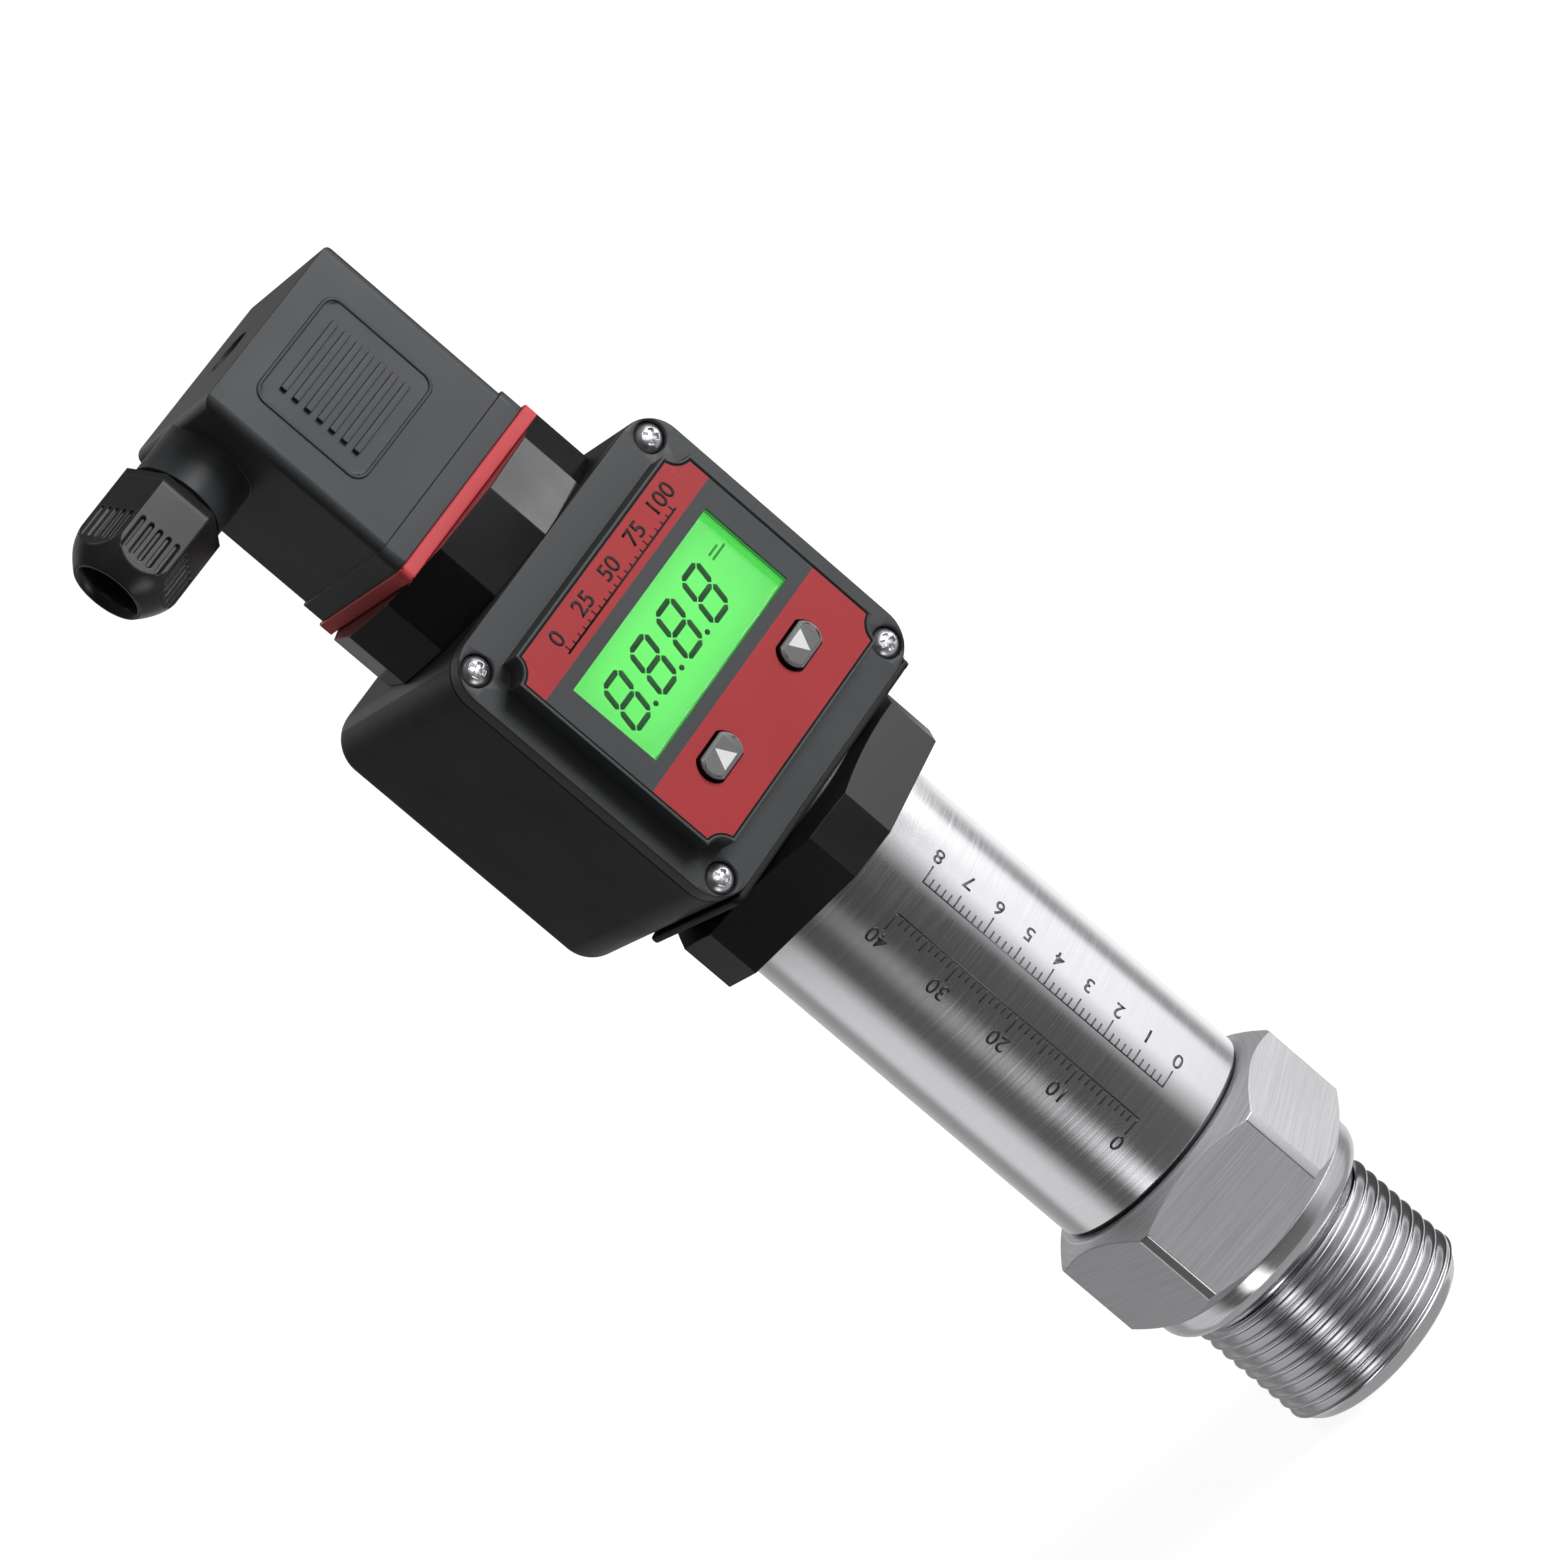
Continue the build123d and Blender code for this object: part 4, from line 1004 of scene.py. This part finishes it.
def displayMaterial():
    # The glow fades to the edge by the sum of the fourth powers of the shares of half the width and height.
    material, tree, shader = newMaterial("litDisplay")
    vector = objectVector(tree)
    x, y, z = splitOf(tree, vector)
    side = combine(tree, "MULTIPLY", x, 1 / display["halfWidth"] / mm)
    rise = combine(tree, "SUBTRACT", z, display["middle"] * mm)
    rise = combine(tree, "MULTIPLY", rise, 1 / display["halfHeight"] / mm)
    powers = [combine(tree, "POWER", combine(tree, "ABSOLUTE", share), 4) for share in (side, rise)]
    edge = combine(tree, "MINIMUM", combine(tree, "ADD", *powers), 1)
    surface = groupNode(tree, mouldedGrain, vector, Grain=1500.0)
    cloud = combine(tree, "MULTIPLY", surface.outputs["Tone"], 0.12)
    fade = combine(tree, "ADD", combine(tree, "MULTIPLY", edge, 0.8), cloud)
    tree.links.new(mixColours(tree, fade, *display["glow"]), shader.inputs["Emission Color"])
    tree.links.new(mixColours(tree, fade, *display["base"]), shader.inputs["Base Color"])
    shader.inputs["Emission Strength"].default_value = 1.0
    shader.inputs["Roughness"].default_value = 0.4
    return material


dress("display_glass", displayMaterial())


def paneMaterial():
    material, tree, shader = newMaterial("clearPane")
    surface = groupNode(tree, mouldedGrain, objectVector(tree), Grain=400.0)
    tone = surface.outputs["Tone"]
    shader.inputs["Transmission Weight"].default_value = 1.0
    shader.inputs["IOR"].default_value = 1.35
    tree.links.new(rangeOf(tree, tone, 0.0, 0.03), shader.inputs["Roughness"])
    tree.links.new(mixColours(tree, tone, (0.97, 0.99, 0.97, 1), (1, 1, 1, 1)), shader.inputs["Base Color"])
    return material


window = {
    "halfWidth": 14.9,
    "low": -3.85,
    "high": 9.35,
    "paneGap": 0.05,
    "paneFront": 21.3,
    "paneBack": 20.65,
    "linerFront": 22.15,
    "linerBack": 20.5,
    "linerWall": 0.08,
}


def windowPlace(u, v, depth):
    return u, -depth, v + label["centre"]


gap = window["paneGap"]
paneHalf = window["halfWidth"] - gap
paneBars = [(-paneHalf, paneHalf, window["low"] + gap, window["high"] - gap)]
paneDepths = (window["paneFront"], window["paneBack"])
barsOn("clearWindow", paneBars, windowPlace, paneDepths, "window_pane", paneMaterial())
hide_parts("window_pane")
softEdges(bpy.data.objects["clearWindow"], 0.08)


def makeLiner():
    # A frame of four walls round the window: two depths on its inner outline and two on its outer one.
    wall, front, back = window["linerWall"], window["linerFront"], window["linerBack"]
    rows = [(0.0, front), (0.0, back), (wall, back), (wall, front), (0.0, front)]
    corners = np.array([(-1, -1), (1, -1), (1, 1), (-1, 1)])
    middle, half = (window["high"] + window["low"]) / 2, (window["high"] - window["low"]) / 2
    points = []
    for out, depth in rows:
        x = corners[:, 0] * (window["halfWidth"] + out)
        z = label["centre"] + middle + corners[:, 1] * (half + out)
        points.append(np.stack((x, np.full(4, -depth), z), -1))
    return np.stack(points), gridFaces(len(rows), 4, True)


# The liner's walls glow green: painted light from the display falling on them.
linerPaintedGlow = plastic("linerPaintedGlow", (0.02, 0.10, 0.03), roughness=0.4)
linerShader = linerPaintedGlow.node_tree.nodes["Principled BSDF"]
linerShader.inputs["Emission Color"].default_value = (0.035, 0.30, 0.045, 1)
linerShader.inputs["Emission Strength"].default_value = 0.75
addPiece("windowLiner", *makeLiner(), "display_glass", linerPaintedGlow, replaces=False)

segments = {
    "pitch": 5.87,
    "digits": 4,
    "firstX": -12.95,
    "base": -0.08,
    "height": 6.25,
    "width": 3.25,
    "slant": 0.22,
    "stroke": 0.74,
    "gap": 0.15,
    "front": 20.56,
    "back": 20.50,
    "pointRadius": 0.36,
    "pointSides": 12,
    "pointPlaces": (-8.47, -2.63, 3.20),
    "unitSlant": 0.1,
    "unitBars": [(10.6, 13.2, 4.5, 4.8), (10.6, 12.4, 5.2, 5.5)],  # left, right, low and high
}


def makeSegments():
    # Each bar is a six-sided strip between two nodes of the figure eight, upright; the slant comes later.
    s = segments
    half = s["stroke"] / 2
    ends = np.array([
        [(0, 0), (1, 0)], [(0, 1), (1, 1)], [(0, 2), (1, 2)],
        [(0, 0), (0, 1)], [(0, 1), (0, 2)], [(1, 0), (1, 1)], [(1, 1), (1, 2)],
    ], float) * (s["width"], s["height"] / 2)
    along = ends[:, 1] - ends[:, 0]
    along /= np.linalg.norm(along, axis=1)[:, None]
    across = np.stack((-along[:, 1], along[:, 0]), -1)
    start, end = ends[:, 0] + along * s["gap"], ends[:, 1] - along * s["gap"]
    outline = np.stack((
        start, start + along * half + across * half, end - along * half + across * half,
        end, end - along * half - across * half, start + along * half - across * half,
    ), 1)
    outline = outline[None] + np.arange(s["digits"])[:, None, None, None] * (s["pitch"], 0)
    return outline.reshape(-1, 6, 2)


def flatPlates(name, outlines, material, slant=0.0, left=0.0, low=0.0):
    # Closed plates, sheared by the slant: each outline stands at two depths, joined by its sides and two faces.
    outlines = np.asarray(outlines, float)
    count, corners = outlines.shape[:2]
    x = outlines[..., 0] + slant * outlines[..., 1] + left
    z = outlines[..., 1] + (label["centre"] + low)
    layers = [np.stack((x, np.full_like(x, -segments[side]), z), -1) for side in ("front", "back")]
    points = np.concatenate([layer.reshape(-1, 3) for layer in layers])
    base = (np.arange(count) * corners)[:, None] + np.arange(corners)
    after = np.roll(base, -1, 1)
    total = count * corners
    sides = np.stack((base, after, after + total, base + total), -1).reshape(-1, 4).tolist()
    faces = sides + base[:, ::-1].tolist() + (base + total).tolist()
    addPiece(name, points, faces, "display_glass", material, replaces=False)


segmentDark = plastic("segmentDark", (0.012, 0.085, 0.022), roughness=0.5, grain=2000, sheen=0.1)
segmentPale = plastic("segmentPale", (0.03, 0.36, 0.05), roughness=0.5, grain=2000, sheen=0.1)
flatPlates("displayDigits", makeSegments(), segmentDark, segments["slant"], segments["firstX"], segments["base"])
turn = np.linspace(0, 2 * pi, segments["pointSides"], endpoint=False)
dot = np.stack((segments["pointRadius"] * np.cos(turn), segments["pointRadius"] * np.sin(turn)), -1)
flatPlates("displayPoints", [dot + (place, 0) for place in segments["pointPlaces"]], segmentDark)
unitBars = [[(x0, z0), (x1, z0), (x1, z1), (x0, z1)] for x0, x1, z0, z1 in segments["unitBars"]]
flatPlates("displayUnitBars", unitBars, segmentPale, segments["unitSlant"])

buttons = {
    "side": 9.1,
    "drop": 9.8,
    "markHalf": 1.3,
    "markSlope": 0.53,
    "skirt": 23.0,
    "flat": 23.26,
    # The sides get near black, a painted shade, and the bevel round the face a lighter grey, a painted highlight.
    "well": (0.005, 0.005, 0.005, 1),
    "rim": (0.30, 0.30, 0.31, 1),
    "grey": ((0.14, 0.14, 0.145, 1), (0.17, 0.17, 0.175, 1)),
    "white": ((0.95, 0.95, 0.95, 1), (1, 1, 1, 1)),
}


def buttonMaterial(name, centreX, upwards):
    # The triangle is where the distance from the middle line is less than half the width left at that height.
    material, tree, shader = newMaterial(name)
    vector = objectVector(tree)
    x, y, z = splitOf(tree, vector)
    side = combine(tree, "ABSOLUTE", combine(tree, "SUBTRACT", x, centreX * mm))
    rise = combine(tree, "SUBTRACT", z, (label["centre"] - buttons["drop"]) * mm)
    rise = combine(tree, "MULTIPLY", rise, 1.0 if upwards else -1.0)
    fromApex = combine(tree, "SUBTRACT", buttons["markHalf"] * mm, rise)
    inside = compare(tree, side, combine(tree, "MULTIPLY", fromApex, buttons["markSlope"]), False)
    aboveBase = compare(tree, rise, -buttons["markHalf"] * mm)
    onFace = compare(tree, y, -buttons["skirt"] * mm, False)
    onFlat = compare(tree, y, -buttons["flat"] * mm, False)
    mark = combine(tree, "MULTIPLY", combine(tree, "MULTIPLY", inside, aboveBase), onFace)
    surface = groupNode(tree, mouldedGrain, vector, Grain=4200.0)
    tone = surface.outputs["Tone"]
    # Lighter grey on the bevel is a painted highlight, and near black on the sides below the face is a painted shade.
    face = mixColours(tree, onFlat, buttons["rim"], mixColours(tree, tone, *buttons["grey"]))
    body = mixColours(tree, onFace, buttons["well"], face)
    white = mixColours(tree, tone, *buttons["white"])
    tree.links.new(mixColours(tree, mark, body, white), shader.inputs["Base Color"])
    tree.links.new(rangeOf(tree, tone, 0.28, 0.38), shader.inputs["Roughness"])
    addBump(tree, shader, surface.outputs["Height"], 0.3, 0.005)
    return material


softCopy("button_up", "buttonUp", buttonMaterial("buttonUpFace", -buttons["side"], True), 0.1)
softCopy("button_down", "buttonDown", buttonMaterial("buttonDownFace", buttons["side"], False), 0.1)
print("label, display and buttons made")
